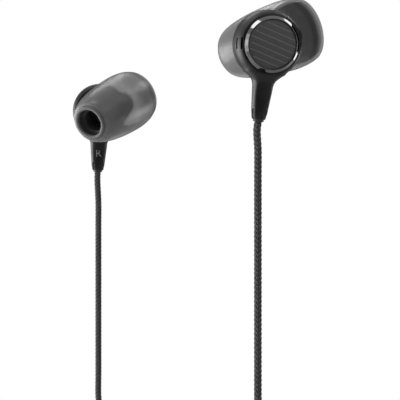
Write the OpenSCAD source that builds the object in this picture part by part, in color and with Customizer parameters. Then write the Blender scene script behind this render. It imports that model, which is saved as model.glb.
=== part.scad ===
// Wired in-ear earphones: two angled earbuds on braided leads, joined below at a
// splitter to one trunk cord that ends in a 3.5 mm plug.
//
// Each bud is drawn once in its own frame: +Z out of the cap, +Y up, +X to the back
// of the head.  It is then placed as the left bud, and mirrored as the right one.
// The whole part hangs from the ears, with its origin where the left ear holds the tip.

/* [Housing] */
// Outer diameter of the round housing
housing_d = 12.5; // [12:0.1:13.2]
// Wall of both housing shells
housing_wall = 0.8; // [0.6:0.05:0.9]
// Height of the parting line below the housing's middle
parting_drop = 1.2; // [1.1:0.05:1.3]
// Height from the housing's middle to its cap side
cap_side_h = 2.7; // [2.6:0.05:3]
// Height from the housing's middle to its ear side
ear_side_h = 2.6; // [2.5:0.05:2.8]
// Height of the rounded edge on the ear side
ear_edge_r = 1.3; // [0.9:0.05:1.35]
// Clearance between pieces that are seated in one another
seat_gap = 0.02; // [0.01:0.01:0.04]
// Height of the lip that centres the two shells
spigot_h = 0.6; // [0.4:0.05:0.65]

/* [Cap] */
// Outer diameter of the bright ring round the cap
bezel_d = 10.2; // [9.8:0.1:10.4]
// Width of the bright ring
bezel_w = 0.65; // [0.5:0.05:0.9]
// Height of the bright ring
bezel_h = 0.85; // [0.6:0.05:1.2]
// Thickness of the cap disc
cap_t = 0.5; // [0.4:0.05:0.6]
// Number of raised ribs across the cap disc
cap_ribs = 7; // [3:1:9]
// Width of a cap rib
cap_rib_w = 0.22; // [0.15:0.01:0.4]
// Height of a cap rib
cap_rib_h = 0.1; // [0.06:0.01:0.2]
// Lean of the cap ribs
cap_rib_lean = -20; // [-45:1:45]

/* [Vents] */
// Length of a vent slot
vent_l = 2.1; // [1.2:0.1:3]
// Width of a vent slot
vent_w = 0.34; // [0.2:0.02:0.4]
// Depth of a vent slot
vent_depth = 0.5; // [0.3:0.05:0.6]

/* [Nozzle] */
// Turn of the nozzle from the housing's axis towards the front
nozzle_turn = 37; // [35:0.5:39]
// Drop of the nozzle towards its mouth
nozzle_drop = 16.5; // [15:0.5:18]
// Outer diameter of the nozzle
nozzle_d = 4.7; // [4.4:0.1:4.9]
// Wall of the nozzle
nozzle_wall = 0.6; // [0.5:0.05:0.7]
// Length of the nozzle from its knee
nozzle_l = 8.2; // [7.6:0.1:8.6]
// Outer diameter of the lip that holds the tip
nozzle_lip_d = 5.44; // [5.3:0.02:5.5]
// Length of that lip
nozzle_lip_l = 1.1; // [0.8:0.1:1.4]
// Diameter of the boss between housing and nozzle
boss_d = 4.8; // [4.6:0.1:5]
// Diameter of the round knee between boss and nozzle
knee_d = 5.5; // [5.4:0.1:5.7]
// Diameter of the sound bore through the boss
sound_bore_d = 2.2; // [2:0.1:2.3]
// Thickness of the nozzle mesh
mesh_t = 0.2; // [0.1:0.02:0.3]
// Diameter of a hole in the nozzle mesh
mesh_hole_d = 0.3; // [0.2:0.02:0.36]

/* [Ear tip] */
// Length of the silicone tip along the nozzle
tip_l = 18.2; // [17.6:0.1:18.8]
// Widest outer diameter of the tip
tip_d = 13.2; // [13:0.1:13.4]
// Outer diameter of the skirt's rim
tip_rim_d = 11.9; // [11.8:0.1:12.2]
// Outer diameter of the tip's mouth
tip_mouth_d = 7.4; // [7.2:0.1:7.8]
// Length of the domed front of the tip
tip_dome_l = 14.3; // [13.8:0.1:14.6]
// Wall of the skirt
tip_wall = 0.7; // [0.6:0.05:0.75]
// Wall of the tube that grips the nozzle
tip_tube_wall = 0.8; // [0.7:0.05:0.9]
// Clearance between the tip's bore and the nozzle's lip
tip_run = 0.04; // [0.02:0.01:0.08]
// Gap between the tip and the housing
tip_gap = 0.3; // [0.25:0.01:0.35]

/* [Stem] */
// Diameter of the stem at its root
stem_root_d = 3.8; // [3.6:0.1:4]
// Diameter of the stem at its lower end
stem_end_d = 3.0; // [2.95:0.05:3.2]
// Thickness of the stem across its two flats
stem_flat_t = 2.8; // [2.7:0.05:2.9]
// Distance from the housing's middle to the stem's end
stem_l = 13.7; // [13:0.1:15]
// Length of the tapered collet at the stem's end
collet_l = 1.3; // [1:0.1:1.6]
// Diameter of the collet at its end
collet_d = 2.5; // [2.45:0.05:2.7]
// Number of slits in the collet
collet_slits = 6; // [4:1:8]
// Width of a slit
slit_w = 0.3; // [0.2:0.02:0.34]
// Length of a slit
slit_l = 1.9; // [1.2:0.1:2.2]
// Lean of the stem towards the front
stem_lean = 4.8; // [3:0.2:6]
// Radius of the fillet between stem and housing
stem_fillet = 3.4; // [3:0.1:3.8]

/* [Driver] */
// Outer diameter of the driver
driver_d = 9.9; // [9.7:0.02:10]
// Depth of the driver frame
driver_h = 2.9; // [2.8:0.02:2.95]
// Width of the frame's rim
driver_rim_w = 0.65; // [0.5:0.05:0.7]
// Outer diameter of the magnet cup
cup_d = 6.6; // [6.4:0.1:6.8]
// Wall of the magnet cup
cup_wall = 0.5; // [0.4:0.05:0.55]
// Diameter of the magnet
magnet_d = 4.4; // [4:0.1:4.5]
// Height of the magnet
magnet_h = 0.8; // [0.7:0.05:0.85]
// Diameter of the top plate
top_plate_d = 4.6; // [4.55:0.01:4.62]
// Thickness of the top plate
top_plate_t = 0.5; // [0.4:0.05:0.55]
// Middle diameter of the voice coil
coil_d = 5.06; // [5.02:0.01:5.12]
// Thickness of the voice coil's winding
coil_t = 0.16; // [0.12:0.01:0.2]
// Thickness of the diaphragm
diaphragm_t = 0.1; // [0.08:0.01:0.12]
// Travel of the diaphragm each way
diaphragm_travel = 0.15; // [0.05:0.01:0.15]
// Thickness of the damping felt
felt_t = 0.3; // [0.2:0.05:0.4]

/* [Cords] */
// Diameter of a lead
lead_d = 1.4; // [1.3:0.05:1.5]
// Diameter of the trunk cord
trunk_d = 2.0; // [1.9:0.05:2.1]
// Wall of the bush round a lead
bush_wall = 0.28; // [0.25:0.01:0.29]
// Length of a bush
bush_l = 4.6; // [4:0.1:5.5]
// How far a bush stands out of the stem
bush_out = 0.4; // [0.2:0.1:0.8]

/* [Splitter] */
// Length of the splitter
splitter_l = 18; // [16:0.5:19]
// Diameter of the splitter at the leads' end
splitter_lead_end_d = 5.2; // [5:0.1:5.4]
// Diameter of the splitter at the trunk's end
splitter_trunk_end_d = 3.6; // [3.2:0.1:4]

/* [Plug] */
// Diameter of the plug's pin
pin_d = 3.5; // [3.5:0.01:3.52]
// Length of the sleeve contact
sleeve_l = 5.2; // [4.6:0.1:5.4]
// Length of the ring contact
ring_l = 2.5; // [2.2:0.1:2.8]
// Thickness of an insulator
insulator_t = 0.7; // [0.5:0.05:0.8]
// Length of the tip contact
tip_contact_l = 4.9; // [4.6:0.1:5.2]
// Diameter of the plug's barrel
barrel_d = 6; // [5.4:0.1:6.2]
// Length of the plug's barrel
barrel_l = 13; // [12.5:0.5:14]
// Length of the plug's boot
boot_l = 9; // [7:0.5:11]
// Diameter of the boot where the trunk enters it
boot_end_d = 3.2; // [2.8:0.1:3.8]

/* [Tie] */
// Height of the strap round the hank
tie_h = 7; // [5:0.5:9]
// Thickness of the strap
tie_t = 0.9; // [0.6:0.1:1.2]
// Clearance between the strap and what it holds
tie_gap = 0.3; // [0.25:0.05:0.4]

/* [Hidden] */
$fn = 64;
eps = 0.01;

// Places of the nozzle and the tip in the bud's frame
rim_centre = [7.8, 3.0, -3.0];
knee_s = 5.4;
nozzle_way = [
    -sin(nozzle_turn) * cos(nozzle_drop),
    -sin(nozzle_drop),
    -cos(nozzle_turn) * cos(nozzle_drop)
];
knee = rim_centre + knee_s * nozzle_way;
sound_bore_at = [4.0, 1.3];
held_s = 10;
held_at = rim_centre + held_s * nozzle_way;

// How each bud hangs: turn about Z, then tilt about X, then roll about Y
left_pose = [13, 8, 0.5];
right_pose = [5.9, 5.9, -2.5];
spread = [-35.3, 53.5, -7.8];

housing_r = housing_d / 2;
inner_r = housing_r - housing_wall;
bezel_r = bezel_d / 2;
cap_r = bezel_r - bezel_w - seat_gap;
stem_z = 0.2;
bush_r = lead_d / 2 + seat_gap + bush_wall;
driver_front = -ear_side_h + housing_wall - 0.1;
driver_r = driver_d / 2;

// ---- places ----

function spin_x(p, a) = [p.x, p.y * cos(a) - p.z * sin(a), p.y * sin(a) + p.z * cos(a)];
function spin_y(p, a) = [p.x * cos(a) + p.z * sin(a), p.y, -p.x * sin(a) + p.z * cos(a)];
function spin_z(p, a) = [p.x * cos(a) - p.y * sin(a), p.x * sin(a) + p.y * cos(a), p.z];
function posed(p, pose) = spin_z(spin_x(spin_y(p, pose[2]), pose[1]), pose[0]);
function upright(p) = spin_x(p, 90);
function flipped(p) = [p.x, -p.y, p.z];

left_middle = -posed(upright(held_at), left_pose);
right_middle = left_middle + spread;
function left_world(p) = left_middle + posed(upright(p), left_pose);
function right_world(p) = right_middle + posed(flipped(upright(p)), right_pose);

stem_way = [-sin(stem_lean), -cos(stem_lean), 0];
lead_exit = [0, 0, stem_z] + (stem_l + bush_out) * stem_way;

module posed_by(pose) {
    rotate([0, 0, pose[0]])
        rotate([pose[1], 0, 0])
            rotate([0, pose[2], 0])
                children();
}

module on_left() {
    translate(left_middle)
        posed_by(left_pose)
            rotate([90, 0, 0])
                children();
}

module on_right() {
    translate(right_middle)
        posed_by(right_pose)
            mirror([0, 1, 0])
                rotate([90, 0, 0])
                    children();
}

// +Z runs along the nozzle, from the centre of the skirt's rim to the mouth
module on_nozzle() {
    translate(rim_centre)
        rotate([0, 180 + nozzle_turn, 0])
            rotate([nozzle_drop, 0, 0])
                children();
}

// +Z runs down the stem from the middle of the housing
module on_stem() {
    translate([0, 0, stem_z])
        rotate([0, 0, -stem_lean])
            rotate([90, 0, 0])
                children();
}

// Points of an elliptic arc about [cx, cy], from angle a to angle b
function arc(cx, cy, rx, ry, a, b, n) = [
    for (i = [0:n]) [cx + rx * cos(a + (b - a) * i / n), cy + ry * sin(a + (b - a) * i / n)]
];

// ---- housing ----

shoulder_z = 0.2;

// Outline of the cap-side shell: side wall, rounded shoulder, flat top
module rear_outline() {
    polygon(concat(
        [[0, -parting_drop], [housing_r, -parting_drop]],
        arc(bezel_r, shoulder_z, housing_r - bezel_r, cap_side_h - shoulder_z, 0, 90, 10),
        [[0, cap_side_h]]
    ));
}

// Outline of the ear-side shell: flat bottom and rounded edge
module front_outline() {
    polygon(concat(
        [[0, -ear_side_h]],
        arc(housing_r - ear_edge_r, -ear_side_h + ear_edge_r, ear_edge_r, ear_edge_r, -90, 0, 8),
        [[housing_r, -parting_drop], [0, -parting_drop]]
    ));
}

// A concave fillet carries the housing's edge down into a slow taper and the collet
module stem_solid() {
    flare_r = stem_root_d / 2 + stem_fillet;
    flare_t = sqrt(pow(housing_r + stem_fillet, 2) - pow(flare_r, 2));
    flare_end = 180 + atan2(flare_t, flare_r);
    intersection() {
        rotate_extrude()
            polygon(concat(
                [[0, stem_l], [collet_d / 2, stem_l], [stem_end_d / 2, stem_l - collet_l]],
                arc(flare_r, flare_t, stem_fillet, stem_fillet, 180, flare_end, 12),
                [[0, flare_t + stem_fillet * sin(flare_end)]]
            ));
        stem_flats();
    }
}

// Two flats that widen where the stem flows into the housing
module stem_flats() {
    wide = 2 * (parting_drop + stem_z + 0.6);
    rotate([0, 90, 0])
        rotate([0, 0, 90])
            translate([0, 0, -housing_r])
                linear_extrude(height = 2 * housing_r)
                    polygon([
                        [-wide / 2, 0],
                        [-wide / 2, 5.4],
                        [-stem_flat_t / 2, 9.4],
                        [-stem_flat_t / 2, stem_l + 1],
                        [stem_flat_t / 2, stem_l + 1],
                        [stem_flat_t / 2, 9.4],
                        [wide / 2, 5.4],
                        [wide / 2, 0]
                    ]);
}

module stem_cuts() {
    bush_bore_r = bush_r + seat_gap;
    translate([0, 0, housing_r - 1.4])
        cylinder(r = lead_d / 2 + 0.05, h = stem_l);
    translate([0, 0, stem_l + bush_out - bush_l - seat_gap])
        cylinder(r = bush_bore_r, h = bush_l + 1);
    for (i = [0:collet_slits - 1])
        rotate([0, 0, i * 360 / collet_slits + 100])
            translate([0, -slit_w / 2, stem_l - slit_l])
                cube([stem_end_d, slit_w, slit_l + 1]);
}

// The two slots in the front of the shoulder, square to its curve
module vent_slots() {
    for (lift = [24, 68]) {
        x = bezel_r + (housing_r - bezel_r) * cos(lift);
        z = shoulder_z + (cap_side_h - shoulder_z) * sin(lift);
        translate([-x, 0, z])
            rotate([0, lift * 0.8, 0])
                cube([2 * vent_depth, vent_l, vent_w], center = true);
    }
}

module rear_housing() {
    difference() {
        union() {
            rotate_extrude($fn = 96) rear_outline();
            on_stem() stem_solid();
        }
        translate([0, 0, -parting_drop - 10])
            cylinder(r = housing_r + seat_gap, h = 10 + seat_gap, $fn = 96);
        translate([0, 0, -parting_drop - 1])
            cylinder(r = inner_r, h = cap_side_h - housing_wall + parting_drop + 1, $fn = 96);
        on_stem() stem_cuts();
        vent_slots();
    }
}

module front_housing() {
    spigot_r = inner_r - seat_gap;
    difference() {
        union() {
            rotate_extrude($fn = 96) front_outline();
            translate([0, 0, -parting_drop - eps])
                cylinder(r = spigot_r, h = spigot_h + eps, $fn = 96);
            boss();
            on_nozzle() nozzle_solid();
        }
        translate([0, 0, driver_front])
            cylinder(r = driver_r + seat_gap, h = 6, $fn = 96);
        translate([sound_bore_at.x, sound_bore_at.y, knee.z])
            cylinder(r = sound_bore_d / 2, h = driver_front - knee.z + 0.1);
        translate(knee)
            sphere(r = knee_d / 2 - 0.8);
        on_nozzle() nozzle_bore();
    }
}

module boss() {
    translate([knee.x, knee.y, knee.z])
        cylinder(r1 = boss_d / 2, r2 = boss_d / 2 + 0.1, h = -knee.z - ear_side_h + 0.9);
    translate(knee)
        sphere(r = knee_d / 2);
}

collar_s = knee_s + 1.9;

module nozzle_solid() {
    end_s = knee_s + nozzle_l;
    lip_r = nozzle_lip_d / 2;
    rotate_extrude()
        polygon([
            [0, knee_s],
            [nozzle_d / 2, knee_s],
            [nozzle_d / 2, collar_s - 1.2],
            [nozzle_lip_d / 2 + 0.3, collar_s - 0.7],
            [nozzle_lip_d / 2 + 0.3, collar_s],
            [nozzle_d / 2, collar_s],
            [nozzle_d / 2, end_s - nozzle_lip_l - 0.3],
            [lip_r, end_s - nozzle_lip_l],
            [lip_r, end_s - 0.4],
            [lip_r - 0.25, end_s],
            [0, end_s]
        ]);
}

mesh_r = nozzle_d / 2 - 0.35;

module nozzle_bore() {
    translate([0, 0, knee_s])
        cylinder(r = nozzle_d / 2 - nozzle_wall, h = nozzle_l + 1);
    translate([0, 0, knee_s + nozzle_l - mesh_t - 0.3])
        cylinder(r = mesh_r + seat_gap, h = mesh_t + 1);
}

module nozzle_mesh() {
    on_nozzle()
        translate([0, 0, knee_s + nozzle_l - mesh_t - 0.3 + eps])
            difference() {
                cylinder(r = mesh_r, h = mesh_t);
                for (ring = [0:2])
                    for (i = [0:max(1, 6 * ring) - 1])
                        rotate([0, 0, i * 60 / max(1, ring)])
                            translate([ring * mesh_hole_d * 1.7, 0, -1])
                                cylinder(d = mesh_hole_d, h = 2, $fn = 16);
            }
}

// ---- cap ----

module bezel_ring() {
    in_r = bezel_r - bezel_w;
    translate([0, 0, cap_side_h])
        rotate_extrude($fn = 96)
            polygon([
                [in_r, 0],
                [bezel_r - 0.05, 0],
                [bezel_r, bezel_h * 0.3],
                [bezel_r - bezel_w * 0.35, bezel_h * 0.85],
                [bezel_r - bezel_w * 0.6, bezel_h],
                [in_r, bezel_h * 0.85]
            ]);
}

module cap_disc() {
    pitch = 2 * cap_r / (cap_ribs + 1);
    translate([0, 0, cap_side_h]) {
        cylinder(r = cap_r, h = cap_t, $fn = 96);
        intersection() {
            cylinder(r = cap_r - 0.2, h = 2, $fn = 96);
            rotate([0, 0, cap_rib_lean])
                for (i = [1:cap_ribs])
                    translate([-cap_r, i * pitch - cap_r - cap_rib_w / 2, cap_t - eps])
                        cube([2 * cap_r, cap_rib_w, cap_rib_h + eps]);
        }
    }
}

// ---- driver ----

coil_drop = 0.8;
coil_top = driver_front + coil_drop;
frame_recess = coil_drop + diaphragm_travel + 0.1;
cup_back = driver_front + driver_h + 0.1;
plate_front = cup_back - cup_wall - magnet_h - top_plate_t;

module driver_frame() {
    difference() {
        translate([0, 0, driver_front])
            cylinder(r = driver_r, h = driver_h, $fn = 96);
        translate([0, 0, driver_front - 1])
            cylinder(r = driver_r - driver_rim_w, h = frame_recess + 1, $fn = 96);
        translate([0, 0, driver_front - 1])
            cylinder(r = cup_d / 2 + seat_gap, h = driver_h + 2);
        for (i = [0:5])
            rotate([0, 0, i * 60])
                translate([(cup_d / 2 + driver_r) / 2 - 0.1, 0, driver_front])
                    cylinder(r = 0.45, h = driver_h + 1, $fn = 24);
    }
}

module magnet_cup() {
    difference() {
        union() {
            translate([0, 0, plate_front])
                cylinder(r = cup_d / 2, h = cup_back - plate_front);
            translate([0, 0, driver_front + driver_h + seat_gap])
                cylinder(r = cup_d / 2 + 0.3, h = cup_back - driver_front - driver_h - seat_gap);
        }
        translate([0, 0, plate_front - 1])
            cylinder(r = cup_d / 2 - cup_wall, h = cup_back - cup_wall - plate_front + 1);
    }
}

module magnet() {
    translate([0, 0, plate_front + top_plate_t])
        cylinder(r = magnet_d / 2, h = magnet_h);
}

module top_plate() {
    translate([0, 0, plate_front])
        cylinder(r = top_plate_d / 2, h = top_plate_t);
}

module voice_coil() {
    translate([0, 0, coil_top])
        difference() {
            cylinder(r = (coil_d + coil_t) / 2, h = 1.1);
            translate([0, 0, -1])
                cylinder(r = (coil_d - coil_t) / 2, h = 4);
        }
}

// Thin shell: domed in the middle, with a rolled surround out to the frame's rim
module diaphragm() {
    outer_r = driver_r - driver_rim_w - 0.12;
    mid_r = coil_d / 2;
    roll_r = (outer_r - mid_r) / 2;
    translate([0, 0, coil_top])
        rotate_extrude($fn = 96)
            polygon(concat(
                arc(0, 0, mid_r, 0.4, 270, 360, 8),
                arc(mid_r + roll_r, 0, roll_r, 0.3, 180, 360, 8),
                [[outer_r, -diaphragm_t]],
                arc(mid_r + roll_r, -diaphragm_t, roll_r - 0.05, 0.3, 360, 180, 8),
                arc(0, -diaphragm_t, mid_r - 0.05, 0.4, 360, 270, 8)
            ));
}

module damping_felt() {
    translate([0, 0, cup_back])
        difference() {
            cylinder(r = cup_d / 2 + 0.3, h = felt_t);
            translate([0, 0, -1])
                cylinder(r = 0.8, h = 3);
        }
}

// ---- ear tip ----

// One wall profile: skirt, dome, rolled mouth and the tube that grips the nozzle
module tip_outline() {
    rim_r = tip_rim_d / 2;
    wide_r = tip_d / 2;
    mouth_r = tip_mouth_d / 2;
    wide_s = tip_l - tip_dome_l;
    bore_r = nozzle_lip_d / 2 + tip_run;
    tube_r = bore_r + tip_tube_wall;
    in_mouth_r = tube_r;
    in_wide_r = wide_r - tip_wall;
    in_dome_l = tip_dome_l - tip_wall - 0.4;
    polygon(concat(
        arc(rim_r - tip_wall / 2, 0, tip_wall / 2, tip_wall / 2, 180, 360, 8),
        [[wide_r - 0.12, wide_s * 0.55]],
        arc(mouth_r, wide_s, wide_r - mouth_r, tip_dome_l - 0.35, 0, 78, 16),
        arc(mouth_r - 0.35, tip_l - 0.35, 0.42, 0.35, 60, 180, 8),
        [[bore_r, tip_l - 0.9], [bore_r, collar_s + 0.1], [tube_r, collar_s + 0.1]],
        arc(in_mouth_r, wide_s, in_wide_r - in_mouth_r, in_dome_l, 84, 0, 16),
        [[in_wide_r - 0.12, wide_s * 0.55]]
    ));
}

module ear_tip() {
    difference() {
        on_nozzle()
            rotate_extrude($fn = 96)
                tip_outline();
        translate([-20, -20, -ear_side_h - tip_gap])
            cube([40, 40, 20]);
    }
}

// ---- bush ----

module cord_bush() {
    on_stem()
        translate([0, 0, stem_l + bush_out - bush_l])
            difference() {
                cylinder(r = bush_r, h = bush_l);
                translate([0, 0, -1])
                    cylinder(r = lead_d / 2 + seat_gap, h = bush_l - bush_out);
            }
}

// ---- cords ----

function unit(v) = v / norm(v);
function way_at(pts, i) =
    unit(pts[min(i + 1, len(pts) - 1)] - pts[max(i - 1, 0)]);

// One closed tube of triangles along the points; side is square to most of the run
module tube(pts, r, sides, side) {
    n = len(pts);
    rings = [
        for (i = [0:n - 1])
            let (w = way_at(pts, i), a = unit(cross(side, w)), b = cross(w, a))
                for (k = [0:sides - 1])
                    pts[i] + r * (cos(360 * k / sides) * a + sin(360 * k / sides) * b)
    ];
    walls = [
        for (i = [0:n - 2])
            for (k = [0:sides - 1])
                let (j = (k + 1) % sides, p = i * sides, q = p + sides)
                    each [[p + k, q + k, q + j], [p + k, q + j, p + j]]
    ];
    first = [for (k = [1:sides - 2]) [0, k, k + 1]];
    last = [for (k = [1:sides - 2]) let (p = (n - 1) * sides) [p, p + k + 1, p + k]];
    polyhedron(points = rings, faces = concat(walls, first, last), convexity = 10);
}

// A hank is a row of upright loops.  The cord runs down one side, round the bottom,
// up the other side and over the top.  It climbs along Y on the runs, which are drawn
// in at the waist.
hank_middle = [-18, 12, -107];
lead_run = 26;
lead_fold_r = 4.4;
lead_pinch = 0.9;
lead_pitch = 2.0;
lead_runs = 5;
trunk_run = 40;
trunk_fold_r = 6.2;
trunk_pinch = 1.4;
trunk_pitch = 2.6;
trunk_runs = 14;
hank_gap = 0.6;

run_steps = 5;
fold_steps = 7;

// Which way run k goes: 1 down the +X side, -1 up the -X side
function heading(k) = (k % 2 == 0) ? 1 : -1;

// Run k, drawn in at its middle, about [0, 0, 0]
function run_points(k, run, fold_r, pinch, pitch, last) = [
    for (j = [0:last])
        let (f = j / run_steps)
            [
                heading(k) * (fold_r - pinch * (1 - cos(360 * f)) / 2),
                pitch / 2 * (k + (1 - cos(180 * f)) / 2),
                heading(k) * run * (0.5 - f)
            ]
];

// The fold after run k
function fold_points(k, run, fold_r, pitch) = [
    for (j = [0:fold_steps - 1])
        let (a = 180 * j / fold_steps)
            [
                heading(k) * fold_r * cos(a),
                pitch / 2 * (k + 1),
                heading(k) * (-run / 2 - fold_r * sin(a))
            ]
];

// All runs and folds, with a straight end one cord diameter long at each end
function hank_points(runs, run, fold_r, pinch, pitch, d) = concat(
    [[fold_r, 0, run / 2 + d]],
    [
        for (k = [0:runs - 2])
            each concat(
                run_points(k, run, fold_r, pinch, pitch, run_steps - 1),
                fold_points(k, run, fold_r, pitch)
            )
    ],
    run_points(runs - 1, run, fold_r, pinch, pitch, run_steps),
    [heading(runs - 1) * [fold_r, 0, -run / 2 - d] + [0, pitch / 2 * runs, 0]]
);

lead_stack = lead_pitch / 2 * lead_runs;
trunk_stack = trunk_pitch / 2 * trunk_runs;
lead_start_y = trunk_stack / 2 + trunk_d / 2 + hank_gap + lead_d / 2 + lead_stack;

lead_hank = hank_points(lead_runs, lead_run, lead_fold_r, lead_pinch, lead_pitch, lead_d);
trunk_hank = hank_points(trunk_runs, trunk_run, trunk_fold_r, trunk_pinch, trunk_pitch, trunk_d);
left_hank_points = [for (p = lead_hank) hank_middle + [p.x, p.y - lead_start_y, p.z]];
right_hank_points = [for (p = lead_hank) hank_middle + [p.x, lead_start_y - p.y, p.z]];
trunk_hank_points = [for (p = trunk_hank) hank_middle + [p.x, p.y - trunk_stack / 2, p.z]];

// Least gap of a hank to itself, between stretches ten or more points apart
function least_gap(pts, d) = min([
    for (i = [0:len(pts) - 1])
        for (j = [i + 10:1:len(pts) - 1])
            norm(pts[i] - pts[j])
]) - d;
echo(least_gap_lead_hank = least_gap(lead_hank, lead_d));
echo(least_gap_trunk_hank = least_gap(trunk_hank, trunk_d));

splitter_at = hank_middle + [trunk_fold_r + trunk_d / 2 + 0.6 + splitter_lead_end_d / 2, 0, 0];
plug_at = hank_middle - [trunk_fold_r + trunk_d / 2 + 0.6 + barrel_d / 2, 0, 0];
barrel_top = 7;
lead_apart = 0.9;

left_exit = left_world(lead_exit);
right_exit = right_world(lead_exit);
left_hank_start = left_hank_points[0];
right_hank_start = right_hank_points[0];
left_hank_end = left_hank_points[len(lead_hank) - 1];
trunk_hank_start = trunk_hank_points[0];
trunk_hank_end = trunk_hank_points[len(trunk_hank) - 1];

// Each route is hand-placed: straight out of its exit, then round and into what it meets
left_route = concat(
    [left_exit, left_exit + 1.6 * unit(left_exit - left_world([0, 0, stem_z]))],
    [for (z = [-20.5:-5:-70.5]) [-1.3, -9.05, z]],
    [
        [-1.9, -8.8, -74], [-3.5, -8.2, -76.7], [-7.3, -6.75, -80.7], [-11.2, -5.3, -84.7],
        [-12.9, -4.65, -87.3]
    ],
    [left_hank_start + [0, 0, lead_d], left_hank_start]
);
right_route = concat(
    [right_exit, right_exit + 1.6 * unit(right_exit - right_world([0, 0, stem_z]))],
    [for (z = [-30.5:-5:-75.5]) [-35.5, 44.65, z]],
    [
        [-35.1, 44.35, -78.1], [-34.05, 43.6, -79.8], [-32.55, 42.45, -80.8],
        [-24.6, 36.5, -82.85], [-16.65, 30.5, -84.9], [-15.1, 29.35, -85.9],
        [-14.05, 28.55, -87.6]
    ],
    [right_hank_start + [0, 0, lead_d], right_hank_start]
);
splitter_in = splitter_at + [0, -lead_apart, -splitter_l / 2];
left_tail_route = concat(
    [left_hank_end, left_hank_end - [0, 0, lead_d]],
    [
        left_hank_end + [1.0, -0.2, -5.0],
        left_hank_end + [3.2, 0.7, -8.2],
        left_hank_end + [5.1, 3.7, -9.9],
        left_hank_end + [6.0, 7.6, -9.0],
        splitter_in + [0, -0.6, -6.5],
        splitter_in - [0, 0, lead_d]
    ],
    [splitter_in]
);
right_tail_route = [for (p = left_tail_route) [p.x, 2 * hank_middle.y - p.y, p.z]];
trunk_out = splitter_at + [0, 0, splitter_l / 2];
trunk_link_route = concat(
    [for (z = [0, 2, 8.5, 15]) trunk_out + [0, 0, z]],
    [
        trunk_out + [-0.3, -0.6, 17.5],
        trunk_out + [-1.05, -2.3, 19.3],
        trunk_out + [-2.1, -4.55, 20],
        trunk_out + [-3.15, -6.8, 19.3],
        trunk_out + [-3.9, -8.5, 17.5]
    ],
    [trunk_hank_start + [0, 0, trunk_d], trunk_hank_start]
);
boot_in = plug_at + [0, 0, barrel_top + boot_l];
trunk_tail_route = concat(
    [trunk_hank_end, trunk_hank_end + [0, 0, trunk_d]],
    [
        trunk_hank_end + [-0.3, -0.6, 4.5],
        trunk_hank_end + [-1.15, -2.3, 6.4],
        trunk_hank_end + [-2.3, -4.55, 7.1],
        trunk_hank_end + [-3.45, -6.8, 6.4],
        trunk_hank_end + [-4.3, -8.5, 4.5]
    ],
    [for (z = [8, 5, 2, 0]) boot_in + [0, 0, z]]
);

// ---- splitter, plug and tie ----

module splitter() {
    translate(splitter_at)
        rotate_extrude()
            polygon([
                [0, -splitter_l / 2],
                [splitter_lead_end_d / 2 - 0.5, -splitter_l / 2],
                [splitter_lead_end_d / 2, -splitter_l / 2 + 0.6],
                [splitter_lead_end_d / 2, -splitter_l / 2 + 5],
                [splitter_trunk_end_d / 2, splitter_l / 2 - 0.5],
                [splitter_trunk_end_d / 2 - 0.4, splitter_l / 2],
                [0, splitter_l / 2]
            ]);
}

module plug_boot() {
    ribs = 4;
    rib = (boot_l - 1.5) / ribs;
    big = barrel_d / 2 - 0.3;
    small = boot_end_d / 2;
    translate(plug_at + [0, 0, barrel_top])
        rotate_extrude()
            polygon(concat(
                [[0, 0], [big, 0]],
                [for (i = [0:ribs - 1]) each [
                    [big - (big - small) * i / ribs, 0.8 + i * rib],
                    [big - (big - small) * (i + 1) / ribs, 0.8 + (i + 0.55) * rib],
                    [big - (big - small) * (i + 1) / ribs, 0.8 + (i + 0.9) * rib]
                ]],
                [[small, boot_l - 0.3], [small - 0.3, boot_l], [0, boot_l]]
            ));
}

module plug_barrel() {
    r = barrel_d / 2;
    translate(plug_at + [0, 0, barrel_top - barrel_l])
        rotate_extrude()
            polygon([
                [0, 0], [r - 0.6, 0], [r - 0.25, 0.5], [r, 0.8],
                [r, barrel_l - 0.3], [r - 0.3, barrel_l], [0, barrel_l]
            ]);
}

shoulder = plug_at + [0, 0, barrel_top - barrel_l];
ring_at = sleeve_l + insulator_t;
tip_at = ring_at + ring_l + insulator_t;

module plug_sleeve() {
    translate(shoulder - [0, 0, sleeve_l])
        cylinder(d = pin_d, h = sleeve_l);
}

module plug_ring() {
    translate(shoulder - [0, 0, ring_at + ring_l])
        cylinder(d = pin_d, h = ring_l);
}

module plug_insulators() {
    for (t = [sleeve_l, ring_at + ring_l])
        translate(shoulder - [0, 0, t + insulator_t])
            cylinder(d = pin_d, h = insulator_t);
}

module plug_tip() {
    r = pin_d / 2;
    neck = tip_contact_l * 0.42;
    translate(shoulder - [0, 0, tip_at])
        rotate([180, 0, 0])
            rotate_extrude()
                polygon([
                    [0, 0], [r, 0], [r, 0.5], [r * 0.68, neck], [r * 0.68, neck + 0.2],
                    [r * 0.92, neck + 0.9], [r * 0.86, neck + 1.3],
                    [0.5, tip_contact_l - 0.15], [0.3, tip_contact_l], [0, tip_contact_l]
                ]);
}

// What the strap goes round, counter-clockwise: [centre, radius] of each round piece
waist_r = lead_fold_r - lead_pinch + 0.2;
held = [
    [[plug_at.x, plug_at.y], barrel_d / 2],
    [[hank_middle.x - waist_r, left_hank_start.y], lead_d / 2],
    [[hank_middle.x + waist_r, left_hank_start.y], lead_d / 2],
    [[splitter_at.x, splitter_at.y], splitter_lead_end_d / 2],
    [[hank_middle.x + waist_r, right_hank_start.y], lead_d / 2],
    [[hank_middle.x - waist_r, right_hank_start.y], lead_d / 2]
];

// Direction square to the strap where it runs straight from one piece to the next
function strap_normal(a, b) =
    let (d = b[0] - a[0])
        atan2(d.y, d.x) - 90 + asin((a[1] - b[1]) / norm(d));
function turn_from(a, b) = a + (((b - a) % 360) + 360) % 360;

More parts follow.
